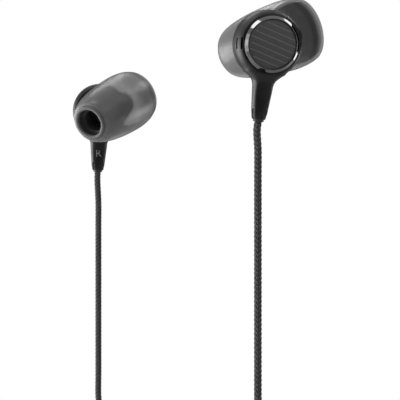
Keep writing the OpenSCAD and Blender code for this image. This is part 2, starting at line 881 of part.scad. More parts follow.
module tie_outline(grow) {
    n = len(held);
    polygon([
        for (i = [0:n - 1])
            let (
                piece = held[i],
                come = strap_normal(held[(i + n - 1) % n], piece),
                leave = turn_from(come, strap_normal(piece, held[(i + 1) % n])),
                r = piece[1] + tie_gap + grow
            )
                each arc(piece[0].x, piece[0].y, r, r, come, leave, 5)
    ]);
}

module cord_tie() {
    translate([0, 0, hank_middle.z - tie_h / 2])
        linear_extrude(height = tie_h)
            difference() {
                tie_outline(tie_t);
                tie_outline(0);
            }
}

// ---- coloured nodes ----

silicone = "#565656";
satin_black = "#1c1c1e";
bright = "#b9bcc2";
cord_grey = "#343436";
steel = "#8d9096";

color(silicone) on_left() ear_tip();  // left_ear_tip
color(satin_black) on_left() front_housing();  // left_front_housing
color(satin_black) on_left() rear_housing();  // left_rear_housing
color(bright) on_left() bezel_ring();  // left_bezel_ring
color("#4a4a4c") on_left() cap_disc();  // left_cap_disc
color(steel) on_left() nozzle_mesh();  // left_nozzle_mesh
color("#3f5f4a") on_left() driver_frame();  // left_driver_frame
color(steel) on_left() magnet_cup();  // left_magnet_cup
color("#6d6f75") on_left() magnet();  // left_magnet
color(steel) on_left() top_plate();  // left_top_plate
color("#b3672f") on_left() voice_coil();  // left_voice_coil
color("#d9c38a") on_left() diaphragm();  // left_diaphragm
color("#e0ddd2") on_left() damping_felt();  // left_damping_felt
color("#101011") on_left() cord_bush();  // left_cord_bush
color(silicone) on_right() ear_tip();  // right_ear_tip
color(satin_black) on_right() front_housing();  // right_front_housing
color(satin_black) on_right() rear_housing();  // right_rear_housing
color(bright) on_right() bezel_ring();  // right_bezel_ring
color("#4a4a4c") on_right() cap_disc();  // right_cap_disc
color(steel) on_right() nozzle_mesh();  // right_nozzle_mesh
color("#3f5f4a") on_right() driver_frame();  // right_driver_frame
color(steel) on_right() magnet_cup();  // right_magnet_cup
color("#6d6f75") on_right() magnet();  // right_magnet
color(steel) on_right() top_plate();  // right_top_plate
color("#b3672f") on_right() voice_coil();  // right_voice_coil
color("#d9c38a") on_right() diaphragm();  // right_diaphragm
color("#e0ddd2") on_right() damping_felt();  // right_damping_felt
color("#101011") on_right() cord_bush();  // right_cord_bush
color(cord_grey) lead(left_route);  // lead_left
color(cord_grey) lead(right_route);  // lead_right
color(cord_grey) hank(left_hank_points, lead_d);  // hank_left
color(cord_grey) hank(right_hank_points, lead_d);  // hank_right
color(cord_grey) link(left_tail_route, lead_d);  // tail_left
color(cord_grey) link(right_tail_route, lead_d);  // tail_right
color(satin_black) splitter();
color(cord_grey) link(trunk_link_route, trunk_d);  // trunk_link
color(cord_grey) hank(trunk_hank_points, trunk_d);  // trunk_hank
color(cord_grey) link(trunk_tail_route, trunk_d);  // trunk_tail
color("#2a2a2c") cord_tie();
color(satin_black) plug_boot();
color(satin_black) plug_barrel();
color("#c9a24a") plug_sleeve();
color("#c9a24a") plug_ring();
color("#c9a24a") plug_tip();
color("#151515") plug_insulators();

module lead(route) {
    tube(route, lead_d / 2, 8, [0, 1, 0]);
}

module hank(pts, d) {
    tube(pts, d / 2, 6, [0, 1, 0]);
}

// A short stretch whose bend lies in the upright plane through its two ends
module link(route, d) {
    across = route[len(route) - 1] - route[0];
    tube(route, d / 2, 8, unit([-across.y, across.x, 0]));
}
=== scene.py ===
# %% [markdown]
# # Wired earphones
#
# Two in-ear buds hang on thin braided leads.  Each bud is a round black housing with a
# bright ring and a grey cap on its outer side, a short stem below, and an angled nozzle
# that carries a smoky silicone tip.  The leads meet at a splitter, and one trunk cord
# goes on to the plug.  The spare cord is tied in a hank below the buds.
#
# The engineering model is loaded first as a fixed frame, in metres.  Sizes in this
# lesson are in millimetres, and `TO_METRES` is applied when a mesh is made.

from math import asin, atan2, cos, dist, pi, radians, sin, sqrt, tan

import bmesh
import bpy
import numpy as np
from mathutils import Matrix, Vector
from numpy import hypot, maximum, minimum, where


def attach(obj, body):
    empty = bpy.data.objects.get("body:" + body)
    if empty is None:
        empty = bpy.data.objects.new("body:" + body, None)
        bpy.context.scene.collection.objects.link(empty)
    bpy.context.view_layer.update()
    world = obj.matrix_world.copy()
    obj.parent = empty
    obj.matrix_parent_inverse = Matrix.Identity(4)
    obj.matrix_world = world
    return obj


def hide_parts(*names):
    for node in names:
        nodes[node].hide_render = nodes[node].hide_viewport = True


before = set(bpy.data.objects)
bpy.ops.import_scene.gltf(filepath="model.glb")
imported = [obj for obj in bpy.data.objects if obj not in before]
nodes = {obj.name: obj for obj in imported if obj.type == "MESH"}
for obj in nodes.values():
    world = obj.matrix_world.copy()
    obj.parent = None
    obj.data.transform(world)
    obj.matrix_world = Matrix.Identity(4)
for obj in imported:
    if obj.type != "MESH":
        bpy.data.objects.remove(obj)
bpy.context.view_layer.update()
TO_METRES = Matrix.Scale(0.001, 4)


def add(name, data):
    """Puts a mesh, a lamp or a camera in the scene as an object."""
    obj = bpy.data.objects.new(name, data)
    bpy.context.scene.collection.objects.link(obj)
    return obj


# %% [markdown]
# ## Where each bud hangs
#
# Both buds share one drawing: +Z out of the cap, +Y up, +X to the back of the head.
# A matrix carries that drawing to its place.  The right bud is the left one mirrored.
# The frame's origin is where the left ear holds its tip, so the places are worked out
# from the point on the nozzle where the tip is gripped.

# %% Bud places
SIDES = ("left", "right")
RIM_CENTRE = Vector((7.8, 3.0, -3.0))
NOZZLE_TURN, NOZZLE_DROP = radians(37), radians(16.5)
NOZZLE_WAY = Vector((
    -sin(NOZZLE_TURN) * cos(NOZZLE_DROP),
    -sin(NOZZLE_DROP),
    -cos(NOZZLE_TURN) * cos(NOZZLE_DROP),
))
HELD_AT = RIM_CENTRE + 10 * NOZZLE_WAY
POSES = {"left": (13, 8, 0.5), "right": (5.9, 5.9, -2.5)}
SPREAD = Vector((-35.3, 53.5, -7.8))
UPRIGHT = Matrix.Rotation(radians(90), 4, "X")


def hanging(side):
    """The turn, tilt and roll of a bud, with the drawing stood upright."""
    turn, tilt, roll = (radians(a) for a in POSES[side])
    m = Matrix.Rotation(turn, 4, "Z") @ Matrix.Rotation(tilt, 4, "X")
    m = m @ Matrix.Rotation(roll, 4, "Y")
    if side == "right":
        m = m @ Matrix.Scale(-1, 4, (0, 1, 0))
    return m @ UPRIGHT


left_middle = -(hanging("left") @ HELD_AT)
middles = {"left": left_middle, "right": left_middle + SPREAD}
PLACE = {side: Matrix.Translation(middles[side]) @ hanging(side) for side in SIDES}
ON_NOZZLE = (
    Matrix.Translation(RIM_CENTRE)
    @ Matrix.Rotation(pi + NOZZLE_TURN, 4, "Y")
    @ Matrix.Rotation(NOZZLE_DROP, 4, "X")
)
print({side: [round(v, 2) for v in middles[side]] for side in SIDES})

# %% [markdown]
# ## Camera
#
# The camera looks level, along +Y, from 200 mm in front of the left bud.  At that
# distance the nearer bud looks a quarter larger than the farther one.

# %% Camera
LENS_OFFSET = Vector((-12.3, -200, -28.3))
camera = add("camera", bpy.data.cameras.new("camera"))
bpy.context.scene.camera = camera
camera.data.sensor_width = 36
camera.data.lens = 99
camera.data.clip_start = 0.01
camera.location = (middles["left"] + LENS_OFFSET) / 1000
camera.rotation_euler = (radians(90), 0, 0)
print("camera at", [round(v, 4) for v in camera.location])

# %% [markdown]
# ## Finishes as expressions
#
# Shader nodes are easier to read as sums than as boxes and wires.  `Shade` wraps one
# output socket.  Python's operators on it add Math nodes, and `node` adds any other
# kind: its settings come first, because some of them change its sockets, and then the
# values or links of its inputs.


# %% The expression class
class Shade:
    """One output of a node tree, which arithmetic extends with Math nodes."""

    def __init__(self, tree, socket=None):
        self.tree, self.socket = tree, socket

    def node(self, kind, inputs=None, out=0, **settings):
        made = self.tree.nodes.new(kind)
        for key, value in settings.items():
            setattr(made, key, value)
        for key, value in (inputs or {}).items():
            if isinstance(value, Shade):
                self.tree.links.new(value.socket, made.inputs[key])
            else:
                made.inputs[key].default_value = value
        return Shade(self.tree, made.outputs[out] if len(made.outputs) else None)

    def then(self, kind, inputs=None, **settings):
        """A node whose first input is this."""
        return self.node(kind, {0: self, **(inputs or {})}, **settings)

    def other(self, out):
        """Another output of the same node."""
        return Shade(self.tree, self.socket.node.outputs[out])

    def math(self, operation, *values):
        return self.node("ShaderNodeMath", dict(enumerate(values)), operation=operation)

    def __add__(self, other): return self.math("ADD", self, other)
    def __radd__(self, other): return self.math("ADD", other, self)
    def __sub__(self, other): return self.math("SUBTRACT", self, other)
    def __rsub__(self, other): return self.math("SUBTRACT", other, self)
    def __mul__(self, other): return self.math("MULTIPLY", self, other)
    def __rmul__(self, other): return self.math("MULTIPLY", other, self)
    def __truediv__(self, other): return self.math("DIVIDE", self, other)
    def __rtruediv__(self, other): return self.math("DIVIDE", other, self)
    def __pow__(self, other): return self.math("POWER", self, other)
    def __abs__(self): return self.math("ABSOLUTE", self)

    def times(self, factor):
        """This vector made longer or shorter."""
        return self.then("ShaderNodeVectorMath", {"Scale": factor}, operation="SCALE")

    def step(self, low, high):
        """0 below low, 1 above high and smooth between."""
        return self.then("ShaderNodeMapRange", {1: low, 2: high},
                         interpolation_type="SMOOTHSTEP")

    def mix(self, a, b):
        """Colour a where this is 0 and colour b where it is 1."""
        return self.then("ShaderNodeMix", {6: a, 7: b}, out=2, data_type="RGBA")

    def bump(self, distance_mm, strength=1.0):
        """A normal from this height."""
        return self.node("ShaderNodeBump", {
            "Height": self, "Strength": strength, "Distance": distance_mm / 1000,
        }, out="Normal")


class Place(Shade):
    """Where a point lies on its piece, in millimetres."""

    def __init__(self, tree):
        coords = Shade(tree).node("ShaderNodeTexCoord", out="Object")
        super().__init__(tree, coords.times(1000).socket)

    def noise(self, size_mm, detail=2.0, stretch=(1, 1, 1)):
        """Soft noise whose spots are about size_mm across."""
        at = self.then("ShaderNodeVectorMath", {1: stretch}, operation="MULTIPLY")
        return at.then("ShaderNodeTexNoise", {"Scale": 1 / size_mm, "Detail": detail},
                       out="Fac")

    def cells(self, size_mm):
        """Distance to the nearest cell's middle, for grains and pits."""
        return self.then("ShaderNodeTexVoronoi", {"Scale": 1 / size_mm}, out="Distance")

    def attribute(self, name):
        """A number that is stored on the mesh's points."""
        return self.node("ShaderNodeAttribute", out="Fac", attribute_name=name)


def grey(level, tint=(1, 1, 1)):
    return (level * tint[0], level * tint[1], level * tint[2], 1)


def cleared(owner):
    """The emptied node tree of a material or a world, ready for expressions."""
    owner.use_nodes = True
    owner.node_tree.nodes.clear()
    return Shade(owner.node_tree)


def finish(name, recipe):
    """Makes a material.  recipe(place) gives the Principled shader's inputs."""
    material = bpy.data.materials.new(name)
    place = Place(cleared(material).tree)
    shader = place.node("ShaderNodeBsdfPrincipled", recipe(place), out="BSDF")
    shader.then("ShaderNodeOutputMaterial")
    return material


print("Shade is ready")

# %% [markdown]
# ## Studio
#
# The floor and the world are white, and soft boxes stand at the left, above, behind and
# in front.  Black glossy plastic and a polished ring show their form by what they mirror,
# so black cards stand all round, seen only in reflections, and three small glowing strips
# draw the bright blocks on the ring.  Cards and strips light nothing.  Light Path keeps
# the backdrop white for the camera and for mirrored and bent rays.

# %% Studio
FLOOR_SIZE, FLOOR_Z = (3000, 3000), -150
AIM = (-12, 12, -10)


def add_stage(name, size, height, material):
    """Adds a level rectangle that belongs to the studio, not to the object."""
    w, h = (s / 2000 for s in size)
    z = height / 1000
    mesh = bpy.data.meshes.new(name)
    mesh.from_pydata([(-w, -h, z), (w, -h, z), (w, h, z), (-w, h, z)], [], [(0, 1, 2, 3)])
    mesh.materials.append(material)
    obj = add(name, mesh)
    return obj


def face(obj, at, look_at, front):
    """Stands an object at one point with its front towards another, in millimetres."""
    obj.location = Vector(at) / 1000
    way = Vector(look_at) - Vector(at)
    obj.rotation_euler = way.to_track_quat(front, "Y").to_euler()


def add_softbox(name, at, look_at, size, power):
    """An area lamp, with its power in watts."""
    lamp = bpy.data.lights.new(name, "AREA")
    lamp.shape = "RECTANGLE"
    lamp.size, lamp.size_y = (s / 1000 for s in size)
    lamp.energy = power
    face(add(name, lamp), at, look_at, "-Z")


def add_card(name, at, size, glow):
    """A black card or a glowing strip, which shows only in what mirrors it."""
    paint = finish(name, lambda p: {
        "Base Color": grey(0), "Roughness": 1, "IOR": 1,
        "Emission Color": grey(1), "Emission Strength": glow,
    })
    paint.cycles.emission_sampling = "NONE"
    card = add_stage(name, size, 0, paint)
    face(card, at, AIM, "Z")
    card.visible_camera = card.visible_diffuse = card.visible_shadow = False
    card.visible_transmission = card.visible_volume_scatter = False


def white_for_camera(base, seen):
    """Mixes a diffuse base with a plain white that the camera and mirrors see."""
    camera_ray = base.node("ShaderNodeLightPath", out="Is Camera Ray")
    mask = camera_ray
    for ray in ("Is Glossy Ray", "Is Transmission Ray"):
        mask = mask.math("MAXIMUM", mask, camera_ray.other(ray))
    return mask.then("ShaderNodeMixShader", {1: base, 2: seen})


world = bpy.data.worlds.new("studio")
bpy.context.scene.world = world
sky = cleared(world)
soft = sky.node("ShaderNodeBackground", {"Color": (0.9, 0.92, 0.95, 1), "Strength": 0.35})
white = sky.node("ShaderNodeBackground", {"Color": grey(1), "Strength": 1})
white_for_camera(soft, white).then("ShaderNodeOutputWorld")

floor_paint = bpy.data.materials.new("studio_floor")
floor = cleared(floor_paint)
matt = floor.node("ShaderNodeBsdfDiffuse", {"Color": grey(0.94)})
paper = floor.node("ShaderNodeEmission")
coords = floor.node("ShaderNodeTexCoord", out="Object")
reach = coords.then("ShaderNodeVectorMath", out="Value", operation="LENGTH")
fade = reach.then("ShaderNodeMapRange", {"From Min": 0.18, "From Max": 0.3})
far = fade.then("ShaderNodeMixShader", {1: matt, 2: paper})
white_for_camera(matt, far).then("ShaderNodeOutputMaterial")
add_stage("studio_floor_plane", FLOOR_SIZE, FLOOR_Z, floor_paint)

for name, at, look_at, size, power in (
    ("low_left", (-280, 80, -50), AIM, (230, 190), 1.1),
    ("left", (-285, -95, 10), AIM, (190, 260), 0.29),
    ("upper_left", (-150, -75, 260), AIM, (80, 150), 0.3),
    ("front", (160, -260, 130), AIM, (320, 260), 0.36),
    ("back_top", (-90, 215, 222), (-32, 30, -5), (120, 60), 0.13),
):
    add_softbox("softbox_" + name, at, look_at, size, power)
for name, at, size, glow in (
    ("strip_left", (-270, -90, 12), (40, 80), 4.5),
    ("strip_upper_right", (160, 140, 190), (80, 80), 7.5),
    ("strip_right", (240, 160, -60), (120, 60), 6),
    ("card_front", (-100, -520, 60), (1300, 900), 0),
    ("card_right", (340, 120, 60), (420, 520), 0),
    ("card_back", (0, 430, 60), (600, 560), 0),
    ("card_low", (-12, -260, -148), (900, 480), 0),
):
    add_card("studio_" + name, at, size, glow)
print("studio ready")

# %% [markdown]
# ## The finishes
#
# The shells are moulded with a very fine spark texture, which spreads every highlight a
# little.  The ring round the cap is polished until it is nearly a mirror.  The cap is
# dark anodised metal with a vertical grain, and its ribs are painted a lighter grey, a
# painted highlight for the light that they catch.  Most finishes are two near colours in
# soft spots, so one rule makes them all.
#
# The tips are smoky silicone: light passes through the wall, and a faint bloom of dust
# and skin oil makes the gloss uneven.  Two numbers on the mesh's points say how far a
# point lies along the tip and how far it is from the skirt's cut rim.  With them the rim
# is painted lighter at its edge, a painted highlight, with a ring of painted shade just
# inside it; the lip and the bore get painted shade; and the tip is a little darker from
# 8 mm along it up to the mouth.


# %% Plastics, metals and silicone
def spotted(low, high, spots, rough, relief=None, metallic=0.0, **more):
    """Two colours in soft spots, with an uneven gloss and a fine relief.

    spots is the size and detail of a noise.  rough is the least roughness, its spread and
    a noise.  relief is a noise, its height and its strength.
    """
    def recipe(p):
        least, spread, *rough_spots = rough
        inputs = {
            "Base Color": p.noise(*spots).mix(low, high),
            "Metallic": metallic,
            "Roughness": least + p.noise(*rough_spots) * spread,
            **more,
        }
        if relief:
            inputs["Normal"] = p.noise(*relief[:2]).bump(*relief[2:])
        return inputs
    return recipe


def anodised(low, high):
    """Brushed and anodised metal between two greys."""
    def recipe(p):
        grain = p.noise(0.11, 2, stretch=(1, 1, 0.06))
        return {
            "Base Color": grain.mix(grey(low), grey(high, (1, 1, 1.03))),
            "Metallic": 0.55,
            "Roughness": 0.42 + grain * 0.16,
            "Normal": grain.bump(0.004, 0.5),
        }
    return recipe


def smoky_silicone(p):
    bloom = p.noise(1.6, 4)
    dust = p.cells(0.9).step(0.05, 0.02)
    along, from_rim = p.attribute("along"), p.attribute("from_rim")
    # Painted light at the skirt's cut rim: edge paints its first half millimetre lighter, a
    # painted highlight for light coming through the thin edge, and band paints a ring of
    # painted shade just inside it.
    edge = 1 - from_rim.step(0.5, 0.9)
    band = from_rim.step(0.7, 1.2) - from_rim.step(1.8, 3.0)
    tube, lip, bore = along.step(8, 11), along.step(17.45, 17.7), from_rim.step(130, 170)
    clean = bloom.mix(grey(0.145, (1, 1, 0.98)), grey(0.18, (1, 1, 0.97)))
    # Painted shade: the lip is painted darker and the bore much darker, where little light
    # gets in. The tip is also a little darker from 8 mm along it.
    clean = lip.mix(tube.mix(clean, grey(0.125, (1, 1, 0.98))), grey(0.075))
    clean = bore.mix(clean, grey(0.03))
    return {
        "Base Color": edge.mix(band.mix(clean, grey(0.075)), grey(0.27, (1, 1, 0.98))),
        "Roughness": 0.27 + bloom * 0.14 + dust * 0.1 + (bore + lip) * 0.22,
        "IOR": 1.41,
        "Alpha": 0.72 + along.step(0.5, 1.3) * 0.16 - along.step(4, 8) * 0.18 + lip * 0.2,
        "Normal": p.noise(0.9, 2).bump(0.004, 0.3),
    }


SILICONE = finish("smoky_silicone", smoky_silicone)
MOULDED = finish("moulded_black", spotted(
    grey(0.002), grey(0.0045, (1, 1, 1.04)), (2.5, 2), (0.4, 0.1, 2.5, 2),
    (0.09, 3, 0.006, 0.35), **{"Specular IOR Level": 0.36, "IOR": 1.42}))
POLISHED = finish("polished_black", spotted(
    grey(0.085), grey(0.115), (1.2, 3), (0.07, 0.07, 1.2, 3), (0.4, 2, 0.002, 0.3), 1.0))
ANODISED = finish("anodised_grey", anodised(0.05, 0.085))
# The ribs' finish is painted lighter than the cap's: a painted highlight for the light that
# the raised ribs catch.
RIB_PAINTED_HIGHLIGHT = finish("anodised_rib_painted_highlight", anodised(0.11, 0.15))


# %% Finishes of the plug and of what is inside
def copper_wire(p):
    rings = p.then("ShaderNodeTexWave", {"Scale": 6.0}, out="Fac")
    return {
        "Base Color": rings.mix((0.35, 0.12, 0.04, 1), (0.62, 0.28, 0.1, 1)),
        "Metallic": 1.0,
        "Roughness": 0.3 + rings * 0.1,
    }


GOLD = finish("gold_plate", spotted(
    (0.75, 0.5, 0.17, 1), (0.83, 0.6, 0.24, 1), (1.5, 3), (0.16, 0.14, 1.5, 3),
    (0.3, 2, 0.002, 0.3), 1.0))
SOFT = finish("soft_black", spotted(
    grey(0.011), grey(0.018), (1.8, 2), (0.55, 0.2, 0.6, 3), (0.12, 2, 0.01, 0.5)))
STEEL = finish("plain_steel", spotted(
    grey(0.4), grey(0.52), (1.0, 2), (0.25, 0.2, 0.5, 3), (0.1, 2, 0.003, 0.4), 1.0))
inner_finishes = {
    "nozzle_mesh": finish("dark_mesh", spotted(
        grey(0.02), grey(0.05), (0.5, 2), (0.4, 0.2, 0.3, 2), metallic=0.8)),
    "driver_frame": finish("driver_green", spotted(
        (0.03, 0.08, 0.05, 1), (0.05, 0.12, 0.07, 1), (1.0, 2), (0.4, 0.2, 0.4, 3))),
    "magnet_cup": STEEL,
    "magnet": STEEL,
    "top_plate": STEEL,
    "voice_coil": finish("copper_wire", copper_wire),
    "diaphragm": finish("clear_film", spotted(
        (0.6, 0.5, 0.28, 1), (0.72, 0.62, 0.38, 1), (1.0, 2), (0.15, 0.1, 0.6, 2))),
    "damping_felt": finish("pale_felt", spotted(
        grey(0.5), grey(0.75), (0.15, 4), (0.9, 0.05, 0.5, 2), (0.08, 4, 0.03, 0.8))),
    "cord_bush": SOFT,
}
for node_name, obj in nodes.items():
    kind = node_name.partition("_")[2]
    if kind in inner_finishes:
        for s in obj.material_slots:
            s.material = inner_finishes[kind]
print(len(bpy.data.materials), "finishes")

# %% [markdown]
# ## Mesh helpers
#
# Two helpers make most forms.  `revolve` turns an outline round an axis, as a lathe
# does.  `skin` walks a grid and puts a surface where a distance formula is zero, which
# suits moulded plastic: a formula can blend a round housing into a stem with a soft
# fillet that no lathe could make.  Each corner point is then pulled onto the formula,
# so that the mesh is smooth at any grid size.


# %% Turned forms
def rounded(points, radii, steps=5):
    """Cuts each corner of a closed outline to an arc.  radii is one number or one each."""
    out, n = [], len(points)
    for i, r in enumerate(radii if isinstance(radii, list) else [radii] * n):
        a, b, c = (Vector(points[k % n]).to_2d() for k in (i - 1, i, i + 1))
        u, v = (a - b), (c - b)
        if r <= 0 or u.length < 1e-9 or v.length < 1e-9:
            out.append(tuple(b))
            continue
        half = u.angle(v) / 2
        back = min(r / tan(half), 0.49 * u.length, 0.49 * v.length)
        p, q = b + u.normalized() * back, b + v.normalized() * back
        for k in range(steps + 1):
            t = k / steps
            out.append(tuple(p.lerp(b, t).lerp(b.lerp(q, t), t)))
    return out


def revolve(outline, steps=96):
    """Turns a closed outline of (radius, height) points about Z."""
    verts, rings, faces = [], [], []
    for r, z in outline:
        count = 1 if r < 1e-6 else steps
        rings.append([len(verts) + i for i in range(count)])
        for i in range(count):
            a = 2 * pi * i / steps
            verts.append((r * cos(a), r * sin(a), z))
    for a, b in zip(rings, rings[1:] + rings[:1]):
        if len(a) == len(b) == 1:
            continue
        for i in range(steps):
            j = (i + 1) % steps
            quad = [a[i % len(a)], a[j % len(a)], b[j % len(b)], b[i % len(b)]]
            faces.append(list(dict.fromkeys(quad)))
    return verts, faces


def quads_between(rings, size, closed=True):
    """The faces between neighbouring rings of size points each."""
    faces = []
    for i in range(rings if closed else rings - 1):
        a, b = i * size, (i + 1) % rings * size
        for k in range(size):
            m = (k + 1) % size
            faces.append([a + k, a + m, b + m, b + k])
    return faces


def weld(mesh):
    """Joins doubled points and turns every face outwards."""
    work = bmesh.new()
    work.from_mesh(mesh)
    bmesh.ops.remove_doubles(work, verts=work.verts, dist=1e-8)
    bmesh.ops.recalc_face_normals(work, faces=work.faces)
    work.to_mesh(mesh)
    work.free()


def piece(name, verts, faces, finish_of, matrix=Matrix(), sharp=40, tidy=True):
    """A mesh object in metres from millimetre points, smooth but for its sharp edges."""
    mesh = bpy.data.meshes.new(name)
    mesh.from_pydata([tuple(v) for v in verts], [], [tuple(f) for f in faces])
    mesh.transform(TO_METRES @ matrix)
    if tidy:
        weld(mesh)
    elif matrix.determinant() < 0:
        mesh.flip_normals()
    mesh.shade_smooth()
    if sharp:
        mesh.set_sharp_from_angle(angle=radians(sharp))
    mesh.materials.append(finish_of)
    return add(name, mesh)


def standing(at):
    return Matrix.Translation(Vector(at))


def turned(name, outline, radii, finish_of, matrix, steps=64):
    return piece(name, *revolve(rounded(outline, radii), steps), finish_of, matrix)


def settle(obj, slot_name, *replaced, body="earphone_set"):
    """Says which body carries a piece, and hides the nodes it stands for.  slot_name is not
    used.
    """
    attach(obj, body)
    if replaced:
        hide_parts(*replaced)


# %% Moulded forms
def smooth_join(a, b, radius):
    """Union of two distance fields, with a round fillet between them."""
    u, v = maximum(radius - a, 0), maximum(radius - b, 0)
    return maximum(radius, minimum(a, b)) - hypot(u, v)


def smooth_cut(a, b, radius):
    """What two distance fields share, with its edges rounded."""
    return -smooth_join(-a, -b, radius)


def skin(field, low, high, step):
    """Corner points and quads of the surface where field is zero; it is negative inside."""
    axes = [np.arange(a, b + step, step) for a, b in zip(low, high)]
    f = field(*np.meshgrid(*axes, indexing="ij"))
    n = [s - 1 for s in f.shape]
    corner = [(i, j, k) for i in (0, 1) for j in (0, 1) for k in (0, 1)]
    part = {c: f[c[0]:c[0] + n[0], c[1]:c[1] + n[1], c[2]:c[2] + n[2]] for c in corner}
    inside = sum((part[c] < 0).astype(np.int8) for c in corner)
    live = (inside > 0) & (inside < 8)
    number = np.full(n, -1, np.int64)
    number[live] = np.arange(live.sum())
    # Each live cell gets a point at the middle of its crossed edges.
    total, hits = np.zeros((live.sum(), 3)), np.zeros(live.sum())
    for a in corner:
        for axis in range(3):
            b = tuple(v + (k == axis) for k, v in enumerate(a))
            if b not in part:
                continue
            fa, fb = part[a][live], part[b][live]
            crossed = (fa < 0) != (fb < 0)
            t = where(crossed, fa / where(fa == fb, 1, fa - fb), 0)
            at = np.array(a, float)[None] + t[:, None] * np.eye(3)[axis][None]
            total += at * crossed[:, None]
            hits += crossed
    points = np.array([a[0] for a in axes])
    points = points + (np.argwhere(live) + total / hits[:, None]) * step
    # Then the points step along the formula's slope until they lie on it.
    h = step * 0.02
    for _ in range(4):
        slope = np.stack([
            (field(*(points + h * e).T) - field(*(points - h * e).T)) / (2 * h)
            for e in np.eye(3)
        ], axis=1)
        size = maximum((slope ** 2).sum(1), 0.05)
        move = -(field(*points.T) / size)[:, None] * slope
        points = points + np.clip(move, -0.4 * step, 0.4 * step)
    # A quad joins the four cells round each crossed edge of the grid.
    quads = []
    for axis in range(3):
        u, v = (axis + 1) % 3, (axis + 2) % 3
        first, second = [slice(1, -1)] * 3, [slice(1, -1)] * 3
        first[axis], second[axis] = slice(0, -1), slice(1, None)
        fa, fb = f[tuple(first)], f[tuple(second)]
        at = np.argwhere((fa < 0) != (fb < 0))
        ring = []
        for du, dv in ((0, 0), (1, 0), (1, 1), (0, 1)):
            cell = at.copy()
            cell[:, u] += du
            cell[:, v] += dv
            ring.append(number[tuple(cell.T)])
        quad = np.stack(ring, axis=1)
        inward = fa[tuple(at.T)] >= 0
        quad[inward] = quad[inward][:, ::-1]
        quads.append(quad)
    return points, np.concatenate(quads)


print("helpers ready")

# %% [markdown]
# ## Forms that repeat
#
# Braid threads and ribs repeat, so Geometry Nodes make them.  `grow` writes the tree,
# gives it its sizes by name, runs it once on a seed mesh and keeps the result as a plain
# mesh.  The modifier and the seed are gone before the piece is used.


# %% Growing a mesh from a rule
def plain_mesh(host, name, matrix):
    """What an object evaluates to, in metres.  The object and its modifiers go."""
    graph = bpy.context.evaluated_depsgraph_get()
    mesh = bpy.data.meshes.new_from_object(host.evaluated_get(graph))
    host.modifiers.clear()
    bpy.data.objects.remove(host)
    mesh.name = name
    mesh.transform(TO_METRES @ matrix)
    return mesh


def grow(name, verts, edges, recipe, sizes, finish_of, matrix=Matrix()):
    """Runs the tree that recipe writes and returns its result as an object."""
    tree = bpy.data.node_groups.new(name + "_rule", "GeometryNodeTree")
    tree.interface.new_socket("Seed", in_out="INPUT", socket_type="NodeSocketGeometry")
    tree.interface.new_socket("Made", in_out="OUTPUT", socket_type="NodeSocketGeometry")
    seed = bpy.data.meshes.new(name + "_seed")
    seed.from_pydata(verts, edges, [])
    host = add(name + "_seed", seed)
    rule = host.modifiers.new("rule", "NODES")
    keys = {}
    for key, value in sizes.items():
        kind = "NodeSocketInt" if isinstance(value, int) else "NodeSocketFloat"
        item = tree.interface.new_socket(key, in_out="INPUT", socket_type=kind)
        keys[item.identifier] = value
    sockets = Shade(tree).node("NodeGroupInput").socket.node.outputs
    given = {s.name: Shade(tree, s) for s in sockets if s.name}
    made = recipe(given.pop("Seed"), **given)
    made = made.then("GeometryNodeRealizeInstances")
    made = made.then("GeometryNodeSetMaterial", {"Material": finish_of})
    made.then("NodeGroupOutput")
    rule.node_group = tree
    for identifier, value in keys.items():
        rule[identifier] = value
    mesh = plain_mesh(host, name, matrix)
    bpy.data.node_groups.remove(tree)
    if matrix.determinant() < 0:
        mesh.flip_normals()
    return add(name, mesh)


print("grow is ready")

# %% [markdown]
# ## The cords' routes
#
# Each route is the one that the engineering model follows, in millimetres: straight down
# from the bud, round into the hank, and out to the splitter.  The hank's runs and folds
# come from a formula.  A spline through the listed points rounds every corner.

# %% Numbers of the cords
LEAD_D, TRUNK_D = 1.4, 2.0
HANK_MIDDLE = Vector((-18, 12, -107))
LEAD_HANK = {"runs": 5, "run": 26, "fold": 4.4, "pinch": 0.9, "pitch": 2.0, "d": LEAD_D}
TRUNK_HANK = {"runs": 14, "run": 40, "fold": 6.2, "pinch": 1.4, "pitch": 2.6, "d": TRUNK_D}
STACK = {"lead": 5.0, "trunk": 18.2}
LEAD_START_Y = STACK["trunk"] / 2 + TRUNK_D / 2 + 0.6 + LEAD_D / 2 + STACK["lead"]
SPLITTER_AT, SPLITTER_L = Vector((-7.6, 12, -107)), 18
LEAD_GAP = 0.9
PLUG_AT = Vector((-28.8, 12, -107))
BOOT_IN = PLUG_AT + Vector((0, 0, 16))
LEAN, STEM_Z, LEAVES_AT = radians(4.8), 0.2, 14.1


def hank(runs, run, fold, pinch, pitch, d, steps=20):
    """Points of a hank: straight runs drawn in at the waist, with a fold at each end."""
    points = [(fold, 0, run / 2 + d)]
    for k in range(runs):
        way = 1 if k % 2 == 0 else -1
        for j in range(steps + (k == runs - 1)):
            f = j / steps
            points.append((
                way * (fold - pinch * (1 - cos(2 * pi * f)) / 2),
                pitch / 2 * (k + (1 - cos(pi * f)) / 2),
                way * run * (0.5 - f),
            ))
        for j in range(steps if k < runs - 1 else 0):
            a = pi * j / steps
            points.append((
                way * fold * cos(a),
                pitch / 2 * (k + 1),
                way * (-run / 2 - fold * sin(a)),
            ))
    last = 1 if runs % 2 else -1
    points.append((last * fold, pitch / 2 * runs, -last * (run / 2 + d)))
    return points


